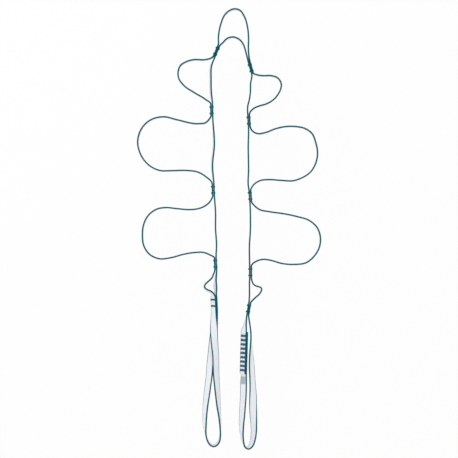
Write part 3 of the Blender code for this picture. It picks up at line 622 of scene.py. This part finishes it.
# %% Dark thread of the bar tacks, and the bluer thread of the splice
TACK_DARK, TACK_LIGHT = (0.004, 0.045, 0.075, 1.0), (0.02, 0.12, 0.17, 1.0)
SPLICE_DARK, SPLICE_LIGHT = (0.03, 0.11, 0.19, 1.0), (0.11, 0.27, 0.40, 1.0)
THREAD_GLOSS = 0.3


def thread_material(name, dark, light):
    material, tree, shader, plane, along, around = new_material(name, THREAD_GLOSS)
    fibre = place_group(tree, FIBRE, Along=along, Around=around)
    worn = fine_noise(tree, plane, 1.3)
    share = maths(tree, "MULTIPLY", fibre.outputs["Shade"], worn)
    tree.links.new(mixed(tree, share, dark, light), shader.inputs["Base Color"])
    roughened(tree, shader, worn, least=0.35, spread=0.35)
    bumped(tree, shader, fibre.outputs["Height"], strength=0.4, distance=0.06 * MM)
    return material


TACK_THREAD = thread_material("tack_thread", TACK_DARK, TACK_LIGHT)
SPLICE_THREAD = thread_material("splice_thread", SPLICE_DARK, SPLICE_LIGHT)

# %% Bare label
LABEL_DARK, LABEL_LIGHT = (0.32, 0.365, 0.42, 1.0), (0.48, 0.53, 0.59, 1.0)
LABEL_GLOSS = 0.3


def label_material():
    material, tree, shader, plane, along, across = new_material("bare_label", LABEL_GLOSS)
    weave = place_group(tree, WEAVE, Along=along, Across=across,
                        Ridge_pitch=0.45, Band_width=40.0, Yarn_pitch=0.25)
    tone = mixed(tree, weave.outputs["Shade"], LABEL_DARK, LABEL_LIGHT)
    tree.links.new(tone, shader.inputs["Base Color"])
    roughened(tree, shader, fine_noise(tree, plane, 0.6), least=0.45, spread=0.25)
    bumped(tree, shader, weave.outputs["Height"], strength=0.3, distance=0.08 * MM)
    return material


LABEL = label_material()
print("materials", [material.name for material in (TAPE, TACK_THREAD, SPLICE_THREAD, LABEL)])

# %% [markdown]
# ## Tape that crosses a fold
#
# In the CAD the tape ends at each fold line, because a hinge needs two bodies. Real tape runs
# on. So every strand starts under the lower bar tack of the joint above and is one line from
# there to the next joint. Both parts share the ring where they meet, so no gap shows there at
# rest.

# %% Splitting a strand at its fold
BEND_BEFORE = 3.4 * MM
BEND_AFTER = 2.6 * MM
RUN_STEPS = 14


def run_stations(run, first, last, offset):
    """Evenly spaced stations on a run, between two distances."""
    return [run.station(first + (last - first) * i / RUN_STEPS, offset)
            for i in range(RUN_STEPS + 1)]


def leaving(run, offset):
    """Stations from under a joint's last bar down to its fold."""
    return run_stations(run, run.length - BEND_BEFORE, run.length, offset)


def returning(run, offset, roll):
    """Stations from a joint's fold back up under its last bar, for tape that comes round."""
    stations = run_stations(run, run.length, run.length - BEND_BEFORE, offset)
    for station in stations:
        station.roll = roll
    return stations


def first_clear(rings, run):
    """The first ring that lies wholly past a run's fold."""
    for i, ring in enumerate(rings):
        if (ring.place - run.end).dot(run.along) >= BEND_AFTER:
            return i
    raise ValueError("the strand never leaves the fold")


def bend_piece(name, rings):
    """The short length of tape that bends from one body to the next."""
    piece = add_piece(name, tape_mesh(name, rings, TAPE_SECTION), TAPE)
    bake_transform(piece)


def riding_piece(name, rings, body, node):
    """A length of tape that rides on one body and stands for its CAD node."""
    piece = add_piece(name, tape_mesh(name, rings, TAPE_SECTION), TAPE)
    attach(piece, body)
    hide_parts(node)


# %% [markdown]
# ## The legs
#
# Both legs are built by one function. From a fold line it finds the next joint, draws the
# pocket's line and the straight tape's line between them, and makes the four pieces. Tape that
# lies rolled over at a joint turns on its way there, in two or three steps. The straight tape
# takes the longer way, and turns nearly about its upper edge, so that its dark line runs on.

# %% How a tape arrives at a joint
# Rows: distance before the joint, share of the roll, share of the layer's offset
POCKET_LEAD = ((4.5 * MM, 0.45, 1.5), (2.2 * MM, 0.80, 1.3))
SPINE_LEAD = ((8.4 * MM, 0.28, 1.1), (5.4 * MM, 0.60, 1.05), (2.5 * MM, 0.88, 1.0))
POCKET_IN_LINE, SPINE_IN_LINE = 0.0, 0.78


def pocket_layer(side):
    """How far the pocket's tape lies from the middle of a joint; the spine is opposite."""
    return -side * LAYER_OFFSET


def blended_rolls(first, last, places, lean):
    """Roll the places between two stations from one to the other, most of it at the far end."""
    reach = last.place - first.place
    rolled = []
    for place in places:
        share = min(max((place - first.place).dot(reach) / reach.length_squared, 0.0), 1.0)
        rolled.append(resting(place, first.roll + (last.roll - first.roll) * share * share + lean))
    return rolled


def arrival(run, layer, rows, in_line):
    """Where a tape joins a run, after it has rolled over on its way there.

    The tape turns about its middle when in_line is 0, and about its upper edge when it is 1.
    """
    stations = []
    if run.roll:
        for distance, roll_share, spread_share in rows:
            middle = run.place(-distance)
            middle.z = run.end.z + (rest_height(0.0) - run.end.z) * (1 - roll_share)
            lead = Run(middle, run.heading, run.roll * roll_share, 0.0)
            shift = (run.width - lead.width) * (in_line * TAPE_WIDTH / 2)
            lead.end += Vector((shift.x, shift.y, 0.0))
            stations.append(lead.station(0.0, layer * spread_share))
    stations.append(run.station(0.0, layer))
    return stations


# %% One strand from joint to joint
def strand_line(first_run, next_run, layer, middle_places, joined, lean=0.0):
    """A tape from under the last bar of one joint to under the last bar of the next."""
    start = first_run.station(first_run.length, layer)
    stations = [start] + blended_rolls(start, joined[0], middle_places, lean) + joined
    line = smooth_line(stations, first_run.along, next_run.along)
    after = run_stations(next_run, 0.0, next_run.length - BEND_BEFORE, layer)
    return leaving(first_run, layer)[:-1] + line + after[1:]


# %% One stretch of a leg
class Stretch:
    """A pocket and the straight tape beside it, down to the next joint."""

    def __init__(self, reach, pocket_shares, bow_shares, next_heading, next_roll=0.0, lean=0.0):
        self.reach = reach
        self.pocket_shares = pocket_shares
        self.bow_shares = bow_shares
        self.next_heading = math.radians(next_heading)
        self.next_roll = next_roll
        self.lean = lean


def build_stretch(side, leg, number, run, stretch):
    """The tapes between one joint and the next, hung on the fold line above them."""
    body = f"{leg}_{number}"
    next_run = joint_run(f"{leg}_{number + 1}", side * stretch.next_heading, stretch.next_roll)
    fold = run.end
    to_next = next_run.place(0.0) - fold
    to_next.z = 0.0
    mouth = to_next.length
    down = to_next / mouth
    outward = Vector((-down.y, down.x, 0.0)) * side
    layer = pocket_layer(side)
    pocket = [fold + down * (along * mouth) + outward * (out * stretch.reach)
              for along, out in stretch.pocket_shares]
    spine = [fold + down * (along * mouth) + outward * (bow * mouth - LAYER_OFFSET)
             for along, bow in stretch.bow_shares]
    pocket_joined = arrival(next_run, layer, POCKET_LEAD, POCKET_IN_LINE)
    spine_joined = arrival(next_run, -layer, SPINE_LEAD, SPINE_IN_LINE)
    for kind, offset, places, joined, lean in (
            ("pocket", layer, pocket, pocket_joined, 0.0),
            ("spine", -layer, spine, spine_joined, stretch.lean)):
        rings = rings_along(strand_line(run, next_run, offset, places, joined, lean))
        cut = first_clear(rings, run)
        bend_piece(f"fold_{kind}_{body}", rings[:cut + 1])
        riding_piece(f"tape_{kind}_{body}", rings[cut:], body, f"{kind}_{body}")
    print(body, "mouth", round(mouth / MM, 1), "mm")
    return next_run


# %% Build the legs
SPINE_LEAN = math.radians(-10.0)
LAST_LEAN = math.radians(-7.0)
LAST_LEFT_ROLL = math.radians(-38.0)
LEFT_STRETCHES = (
    Stretch(50.5 * MM, LEFT_1_SHARES, LEFT_1_BOW_SHARES, -1.0, lean=SPINE_LEAN),
    Stretch(106.1 * MM, LEFT_2_SHARES, LEFT_2_BOW_SHARES, -2.4, lean=SPINE_LEAN),
    Stretch(102.8 * MM, LEFT_3_SHARES, LEFT_3_BOW_SHARES, -2.6),
    Stretch(15.0 * MM, LEFT_4_SHARES, LEFT_4_BOW_SHARES, -2.8, LAST_LEFT_ROLL, LAST_LEAN),
)
RIGHT_STRETCHES = (
    Stretch(43.3 * MM, RIGHT_1_SHARES, RIGHT_1_BOW_SHARES, 3.4),
    Stretch(96.7 * MM, RIGHT_2_SHARES, RIGHT_2_BOW_SHARES, 4.4),
    Stretch(99.3 * MM, RIGHT_3_SHARES, RIGHT_3_BOW_SHARES, 0.4),
    Stretch(16.6 * MM, RIGHT_4_SHARES, RIGHT_4_BOW_SHARES, -9.2),
)
left_runs = [joint_run("left_1", LEFT * LEFT_CROWN_HEADING)]
right_runs = [joint_run("right_1", RIGHT * RIGHT_CROWN_HEADING)]
for number, stretch in enumerate(LEFT_STRETCHES, 1):
    left_runs.append(build_stretch(LEFT, "left", number, left_runs[-1], stretch))
for number, stretch in enumerate(RIGHT_STRETCHES, 1):
    right_runs.append(build_stretch(RIGHT, "right", number, right_runs[-1], stretch))

# %% [markdown]
# ## The crown
#
# Over the crown the chain is folded in the middle of a pocket, so its two tapes run from one
# first joint to the other: the pocket's tape high, the straight tape in a low arch. Nothing
# folds between them, and each is one riding piece.


# %% Build the crown
def crown_line(left_run, right_run, left_layer, right_layer, rise, shares):
    places = [left_run.end + Vector((across * CROWN_SPREAD, up * rise, 0.0))
              for across, up in shares]
    stations = [left_run.station(0.0, left_layer)]
    stations += [resting(place, 0.0) for place in places]
    stations.append(right_run.station(0.0, right_layer))
    last = left_run.length - BEND_BEFORE
    before = run_stations(left_run, last, 0.0, left_layer)
    after = run_stations(right_run, 0.0, last, right_layer)
    return before[:-1] + smooth_line(stations, -left_run.along, right_run.along) + after[1:]


for node, sign, rise, shares in (("pocket_top", 1, CROWN_POCKET_RISE, CROWN_POCKET_SHARES),
                                 ("spine_top", -1, CROWN_ARCH_RISE, CROWN_ARCH_SHARES)):
    crown_rings = rings_along(crown_line(left_runs[0], right_runs[0], sign * pocket_layer(LEFT),
                                         sign * pocket_layer(RIGHT), rise, shares))
    riding_piece(f"tape_{node}", crown_rings, "crown", node)
    print(node, "tape", round(crown_rings[-1].travelled / MM), "mm long")

# %% [markdown]
# ## The left end loop
#
# One tape leaves the last joint, goes round and comes back with a half twist, so its strands
# cross. Where they cross, the upper strand must clear the lower one: its height comes from the
# outlines of both sections, seen along the leg. Physics could settle this too, but the crossing
# is part of the photograph, and a simulation would move it.

# %% Laying one tape over another
CROSSING_CLEARANCE = 0.7 * MM


def section_corners(place, roll):
    """Corners of the tape's section seen along the leg, for a tape that runs down it."""
    half_width, half_thickness = TAPE_WIDTH / 2, TAPE_THICKNESS / 2
    return [(place.x + x * math.cos(roll) - z * math.sin(roll),
             place.z + x * math.sin(roll) + z * math.cos(roll))
            for x, z in ((-half_thickness, -half_width), (-half_thickness, half_width),
                         (half_thickness, half_width), (half_thickness, -half_width))]


def edge_heights(corners, x):
    """Where an upright line at x crosses the outline of a section."""
    return [z0 + (z1 - z0) * (x - x0) / (x1 - x0)
            for (x0, z0), (x1, z1) in zip(corners, corners[1:] + corners[:1])
            if min(x0, x1) <= x <= max(x0, x1) and x0 != x1]


def laid_over(flat_place, roll, under):
    """A station whose tape lies over another tape, or at z = 0 beside it."""
    station = resting(flat_place, roll)
    below = section_corners(under.place, under.roll)
    above = section_corners(station.place, -roll)
    lift = 0.0
    for x in [corner[0] for corner in below + above]:
        tops, bottoms = edge_heights(below, x), edge_heights(above, x)
        if tops and bottoms:
            lift = max(lift, max(tops) + CROSSING_CLEARANCE - min(bottoms))
    station.place.z += lift
    return station


def loop_place(fold, length, spread, down, across):
    """A spot of an end loop, from its shares of the loop's length and spread."""
    return Vector((fold.x + across * spread, fold.y - down * length, 0.0))


def loop_stations(sizes, rows):
    """Stations of an end loop, from rows of two shares and a roll in degrees."""
    return [resting(loop_place(*sizes, down, across), math.radians(roll))
            for down, across, roll in rows]


# %% Build the left end loop
def left_loop_line(run):
    sizes = (run.end, LEFT_LOOP_LENGTH, LEFT_LOOP_SPREAD)
    layer = pocket_layer(LEFT)
    outward, back = [], []
    for down, across, roll, back_across, back_roll in LEFT_LOOP_CROSSING_SHARES:
        under = resting(loop_place(*sizes, down, across), math.radians(roll))
        outward.append(under)
        back_place = loop_place(*sizes, down, back_across)
        back.append(laid_over(back_place, math.radians(back_roll), under))
    bight = loop_stations(sizes, LEFT_LOOP_BIGHT_SHARES)
    start = run.station(run.length, -layer)
    end = Station(run.place(run.length, layer), -math.pi - run.roll)
    line = smooth_line([start] + outward + bight + back[::-1] + [end], run.along, -run.along)
    return leaving(run, -layer)[:-1] + line + returning(run, layer, end.roll)[1:]


left_end = left_runs[-1]
loop_rings = rings_along(left_loop_line(left_end))
first_cut = first_clear(loop_rings, left_end)
last_cut = len(loop_rings) - 1 - first_clear(loop_rings[::-1], left_end)
bend_piece("fold_loop_left_out", loop_rings[:first_cut + 1])
riding_piece("tape_end_loop_left", loop_rings[first_cut:last_cut + 1], "left_5", "end_loop_left")
bend_piece("fold_loop_left_back", loop_rings[last_cut:])
print("left end loop, tape", round(loop_rings[-1].travelled / MM), "mm long")

# %% [markdown]
# ## The right end loop and its splice
#
# The tape's two ends overlap here for 60 mm and are sewn together by nine rows. The upper end
# comes down from the joint as the tail, and the lower end goes on round the loop. The splice is
# a straight run of its own, rolled half over, so its pale face shows from above.

# %% The splice
SPLICE_ROWS = 9
SPLICE_ROW_PITCH = 6.1 * MM
SPLICE_ROW_LENGTH = 9.6 * MM
SPLICE_END_MARGIN = 5.6 * MM
SPLICE_RUN = (SPLICE_ROWS - 1) * SPLICE_ROW_PITCH + 2 * SPLICE_END_MARGIN
SPLICE_STACK = 2.6 * MM
SPLICE_STEPS = 40


def splice_run(fold):
    """The doubled tape of the splice, whose tape or thread reaches down to z = 0."""
    start = loop_place(fold, RIGHT_LOOP_LENGTH, RIGHT_LOOP_SPREAD,
                       SPLICE_DOWN_SHARE, SPLICE_ACROSS_SHARE)
    tape = rest_height(SPLICE_ROLL) + LAYER_OFFSET * abs(math.sin(SPLICE_ROLL))
    thread = (SPLICE_ROW_LENGTH / 2 * math.cos(SPLICE_ROLL)
              + SPLICE_STACK * abs(math.sin(SPLICE_ROLL)))
    start.z = max(tape, thread)
    end = start + heading_vector(SPLICE_HEADING) * SPLICE_RUN
    return Run(end, SPLICE_HEADING, SPLICE_ROLL, SPLICE_RUN)


def splice_stations(splice, first, last, offset):
    """Stations on the splice, between two of its steps."""
    return [splice.station(splice.length * i / SPLICE_STEPS, offset) for i in range(first, last)]


right_end = right_runs[-1]
splice = splice_run(right_end.end)
print("splice", round(splice.length / MM, 1), "mm long")


# %% Build the right end loop
def tail_line(run, splice):
    """From the joint down to the splice, on top."""
    layer = pocket_layer(RIGHT)
    sizes = (run.end, RIGHT_LOOP_LENGTH, RIGHT_LOOP_SPREAD)
    stations = [run.station(run.length, -layer)] + loop_stations(sizes, RIGHT_TAIL_SHARES)
    stations.append(splice.station(0.0, LAYER_OFFSET))
    on_splice = splice_stations(splice, 1, SPLICE_STEPS + 1, LAYER_OFFSET)
    return leaving(run, -layer)[:-1] + smooth_line(stations, run.along, splice.along) + on_splice


def right_loop_line(run, splice):
    """From the splice's start, beneath, round the loop and back to the joint."""
    layer = pocket_layer(RIGHT)
    sizes = (run.end, RIGHT_LOOP_LENGTH, RIGHT_LOOP_SPREAD)
    stations = [splice.station(splice.length, -LAYER_OFFSET)]
    stations += loop_stations(sizes, RIGHT_LOOP_SHARES)
    end = Station(run.place(run.length, layer), math.pi + run.roll)
    line = smooth_line(stations + [end], splice.along, -run.along)
    on_splice = splice_stations(splice, 0, SPLICE_STEPS, -LAYER_OFFSET)
    return on_splice + line + returning(run, layer, end.roll)[1:]


tail_rings = rings_along(tail_line(right_end, splice))
cut = first_clear(tail_rings, right_end)
bend_piece("fold_splice_tail", tail_rings[:cut + 1])
riding_piece("tape_splice_tail", tail_rings[cut:], "right_5", "splice_tail")

right_rings = rings_along(right_loop_line(right_end, splice))
cut = len(right_rings) - 1 - first_clear(right_rings[::-1], right_end)
riding_piece("tape_end_loop_right", right_rings[:cut + 1], "right_5", "end_loop_right")
bend_piece("fold_loop_right_back", right_rings[cut:])
print("right end loop, tape", round(right_rings[-1].travelled / MM), "mm long")

# %% [markdown]
# ## Bar tacks
#
# A bar tack is sewn in two passes: a few long stitches across the tape, then a dense zigzag
# over them. So each pad has a core of long threads and a row of short ones that arch over it
# and dive into the tape at both sides. A box with a bump map would look right from afar, but
# its silhouette would be a box, so the threads are real tubes. The machine pulls the lower
# thread flatter, and that pad is the low one, on the side that faces away in the photograph.

# %% A tube along points
TUBE_SIDES = 6
THREAD_RADIUS = 0.21 * MM


def add_thread(work, layer, points):
    """A closed tube in a bmesh, with a map along it and round it."""
    rings, travelled = [], [0.0]
    for i, point in enumerate(points):
        before, after = points[max(i - 1, 0)], points[min(i + 1, len(points) - 1)]
        along = (after - before).normalized()
        side = along.orthogonal().normalized()
        if rings:
            side = (rings[-1][1] - along * rings[-1][1].dot(along)).normalized()
            travelled.append(travelled[-1] + (point - points[i - 1]).length)
        up = along.cross(side)
        verts = [work.verts.new(point + (side * math.cos(a) + up * math.sin(a)) * THREAD_RADIUS)
                 for a in (math.tau * k / TUBE_SIDES for k in range(TUBE_SIDES))]
        rings.append((verts, side))
    for n in range(len(rings) - 1):
        near, far = rings[n][0], rings[n + 1][0]
        for k in range(TUBE_SIDES):
            m = (k + 1) % TUBE_SIDES
            face = work.faces.new((near[k], near[m], far[m], far[k]))
            spots = ((n, k), (n, k + 1), (n + 1, k + 1), (n + 1, k))
            for loop, (step, turn) in zip(face.loops, spots):
                loop[layer].uv = (travelled[step] / MM, turn / TUBE_SIDES)
    for verts in (rings[0][0], rings[-1][0]):
        work.faces.new(verts)


# %% A sewn pad
STACK_HALF = LAYER_OFFSET + TAPE_THICKNESS / 2
CORE_ACROSS_SHARES = (-0.26, 0.0, 0.26)
CORE_SHARES = ((-0.2, -0.97), (0.45, -0.9), (0.5, 0.0), (0.45, 0.9), (-0.2, 0.97))
NEEDLE_SHARES = (-0.25, 0.25)
THROUGH_SHARES = (-1.1, 0.0, 1.1)
ARCH_SHARES = ((-0.5, -0.3), (-0.47, 0.45), (-0.30, 0.92), (0.0, 1.0), (0.30, 0.92),
               (0.47, 0.45), (0.5, -0.3))


def add_pad(work, layer, side, length, breadth, height, pitch, slant):
    """Threads of one pad: a core across the tape and a zigzag over it."""
    top = height - THREAD_RADIUS
    for across in CORE_ACROSS_SHARES:
        core = [Vector((side * (STACK_HALF + top * rise), across * breadth, z * length / 2))
                for rise, z in CORE_SHARES]
        add_thread(work, layer, core)
    count = int(length / pitch)
    for i in range(count):
        z = (i + 0.5) * length / count - length / 2
        lean = slant * (1 if i % 2 else -1)
        arch = [Vector((side * (STACK_HALF + top * rise), share * breadth, z + share * lean))
                for share, rise in ARCH_SHARES]
        add_thread(work, layer, arch)


def sewn_mesh(name, length, breadth, heights, pitch, slant):
    """Both pads of a bar, and the threads that join them through the tapes."""
    work = bmesh.new()
    layer = work.loops.layers.uv.new(TAPE_MAP)
    for side, height in zip((1, -1), heights):
        add_pad(work, layer, side, length, breadth, height, pitch, slant)
    for z in NEEDLE_SHARES:
        through = [Vector((share * STACK_HALF, 0.0, z * length)) for share in THROUGH_SHARES]
        add_thread(work, layer, through)
    mesh = finished_mesh(work, name)
    print(name, "has", len(mesh.polygons), "faces")
    return mesh


# %% Sew the joints
TACK_LENGTH = 8.8 * MM
TACK_BREADTH = 2.0 * MM
TACK_HEIGHTS = (1.05 * MM, 0.5 * MM)
TACK_MESH = sewn_mesh("bar_tack_threads", TACK_LENGTH, TACK_BREADTH, TACK_HEIGHTS,
                      pitch=0.4 * MM, slant=0.3 * MM)


def sew_joint(run, body, name):
    """Both bar tacks of a joint, at their distances along the run."""
    for distance, which in ((TACK_MARGIN, "upper"), (TACK_MARGIN + BAR_SPACING, "lower")):
        node = f"{name}_{which}"
        bar = add_piece(f"threads_{node}", TACK_MESH.copy(), TACK_THREAD)
        bar.matrix_world = run.matrix(distance)
        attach(bar, body)
        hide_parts(node)


for leg, runs in (("left", left_runs), ("right", right_runs)):
    for number, run in enumerate(runs, 1):
        carrier = "crown" if number == 1 else f"{leg}_{number - 1}"
        sew_joint(run, carrier, f"bartack_{leg}_{number}")
print("joints sewn", len(left_runs) + len(right_runs))

# %% [markdown]
# The splice rows use the same threads, longer, broader and in bluer yarn, and their zigzag is
# more open.

# %% Sew the splice
SPLICE_ROW_BREADTH = 3.4 * MM
SPLICE_ROW_HEIGHTS = (0.75 * MM, 0.5 * MM)
ROW_MESH = sewn_mesh("splice_row_threads", SPLICE_ROW_LENGTH, SPLICE_ROW_BREADTH,
                     SPLICE_ROW_HEIGHTS, pitch=0.5 * MM, slant=0.5 * MM)
for number in range(1, SPLICE_ROWS + 1):
    row = add_piece(f"threads_splice_row_{number}", ROW_MESH.copy(), SPLICE_THREAD)
    row.matrix_world = splice.matrix(SPLICE_END_MARGIN + (number - 1) * SPLICE_ROW_PITCH)
    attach(row, "right_5")
    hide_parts(f"splice_row_{number}")
print("splice rows sewn", SPLICE_ROWS)

# %% [markdown]
# ## The label
#
# A small woven label lies along the loop's tape below the splice. It is made as the tape is,
# from the rings that it lies on, moved off the tape's face, so that it can't drift off.

# %% Lay the label on the tape
LABEL_LENGTH = 11.4 * MM
LABEL_WIDTH = 8.8 * MM
LABEL_THICKNESS = 0.35 * MM
LABEL_FROM_SPLICE = 2.8 * MM
LABEL_EDGE_MARGIN = 0.4 * MM
LABEL_LIFT = 0.12 * MM
LABEL_ROUNDING = 0.16 * MM


def label_rings():
    """The loop's rings under the label, to the nearest ring, moved to where it lies."""
    first = SPLICE_RUN + LABEL_FROM_SPLICE - RING_STEP / 2
    last = SPLICE_RUN + LABEL_FROM_SPLICE + LABEL_LENGTH + RING_STEP / 2
    lift = TAPE_THICKNESS / 2 + LABEL_LIFT + LABEL_THICKNESS / 2
    shift = LABEL_EDGE_MARGIN - (TAPE_WIDTH - LABEL_WIDTH) / 2
    return [ring.shifted(lift, shift) for ring in right_rings if first <= ring.travelled <= last]


LABEL_SECTION = tape_section(LABEL_WIDTH, LABEL_THICKNESS, LABEL_ROUNDING)
laid = label_rings()
label_mesh = tape_mesh("woven_label", laid, LABEL_SECTION)
label = add_piece("woven_label", label_mesh, LABEL)
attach(label, "right_5")
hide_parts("label")
print("label laid on", len(laid), "rings")

# %% [markdown]
# ## Floor, light and camera
#
# The chain was photographed from straight above on a light table, so there is nearly no shadow.
# The floor is a white plane that keeps a soft shadow, and for the camera it is mostly plain
# white. It lies 90 mm lower than the tape, because the last left fold turns about a tilted line
# and dips the end loop, which a floor at the tape's own level would cut off. A wide lamp
# overhead and an even world light the tape at a level where its colours come out as written.

# %% The light table
FLOOR_SIZE = 16.0
FLOOR_DROP = 90.0 * MM
FLOOR_COLOUR = (0.92, 0.92, 0.92, 1.0)
FLOOR_GLOW_SHARE = 0.88


def floor_material():
    material = bpy.data.materials.new("light_table")
    material.use_nodes = True
    tree = material.node_tree
    shader = tree.nodes["Principled BSDF"]
    shader.inputs["Base Color"].default_value = FLOOR_COLOUR
    shader.inputs["Roughness"].default_value = 0.9
    glow = tree.nodes.new("ShaderNodeEmission")
    rays = tree.nodes.new("ShaderNodeLightPath")
    seen = maths(tree, "MAXIMUM", rays.outputs["Is Camera Ray"], rays.outputs["Is Glossy Ray"])
    seen = maths(tree, "MAXIMUM", seen, rays.outputs["Is Transmission Ray"])
    mix = tree.nodes.new("ShaderNodeMixShader")
    tree.links.new(maths(tree, "MULTIPLY", seen, FLOOR_GLOW_SHARE), mix.inputs[0])
    tree.links.new(shader.outputs[0], mix.inputs[1])
    tree.links.new(glow.outputs[0], mix.inputs[2])
    tree.links.new(mix.outputs[0], tree.nodes["Material Output"].inputs["Surface"])
    return material


bpy.ops.mesh.primitive_plane_add(size=FLOOR_SIZE, location=(0.0, 0.0, -FLOOR_DROP))
floor = bpy.context.object
floor.name = "light_table"
floor.data.materials.append(floor_material())
print("floor", FLOOR_SIZE, "m wide")

# %% World and lamp
WORLD_STRENGTH = 0.86
LAMP_WATTS = 6.4
LAMP_SIZE = 1.2
LAMP_PLACE = Vector((-0.5, 0.6, 1.6))
world = bpy.data.worlds.new("even_light")
bpy.context.scene.world = world
world.use_nodes = True
background = world.node_tree.nodes["Background"]
background.inputs["Color"].default_value = (1.0, 1.0, 1.0, 1.0)
background.inputs["Strength"].default_value = WORLD_STRENGTH

lamp_data = bpy.data.lights.new("overhead", "AREA")
lamp_data.energy = LAMP_WATTS
lamp_data.size = LAMP_SIZE
lamp = bpy.data.objects.new("overhead", lamp_data)
lamp.location = LAMP_PLACE
lamp.rotation_euler = (-LAMP_PLACE).to_track_quat("-Z", "Y").to_euler()
bpy.context.scene.collection.objects.link(lamp)
print("lamp", LAMP_WATTS, "W, world", WORLD_STRENGTH)

# %% Camera straight above
VIEW_WIDTH = 650.4 * MM
VIEW_MIDDLE = (-0.1 * MM, -0.2 * MM)
SENSOR = 36.0
LENS = 135.0
camera_data = bpy.data.cameras.new("from_above")
camera_data.sensor_width = SENSOR
camera_data.lens = LENS
camera = bpy.data.objects.new("from_above", camera_data)
camera.location = (*VIEW_MIDDLE, TAPE_WIDTH + VIEW_WIDTH * LENS / SENSOR)
bpy.context.scene.collection.objects.link(camera)
bpy.context.scene.camera = camera
bpy.context.scene.view_settings.view_transform = "Standard"
print("camera", round(camera.location.z, 3), "m above the plane that the chain lies on")
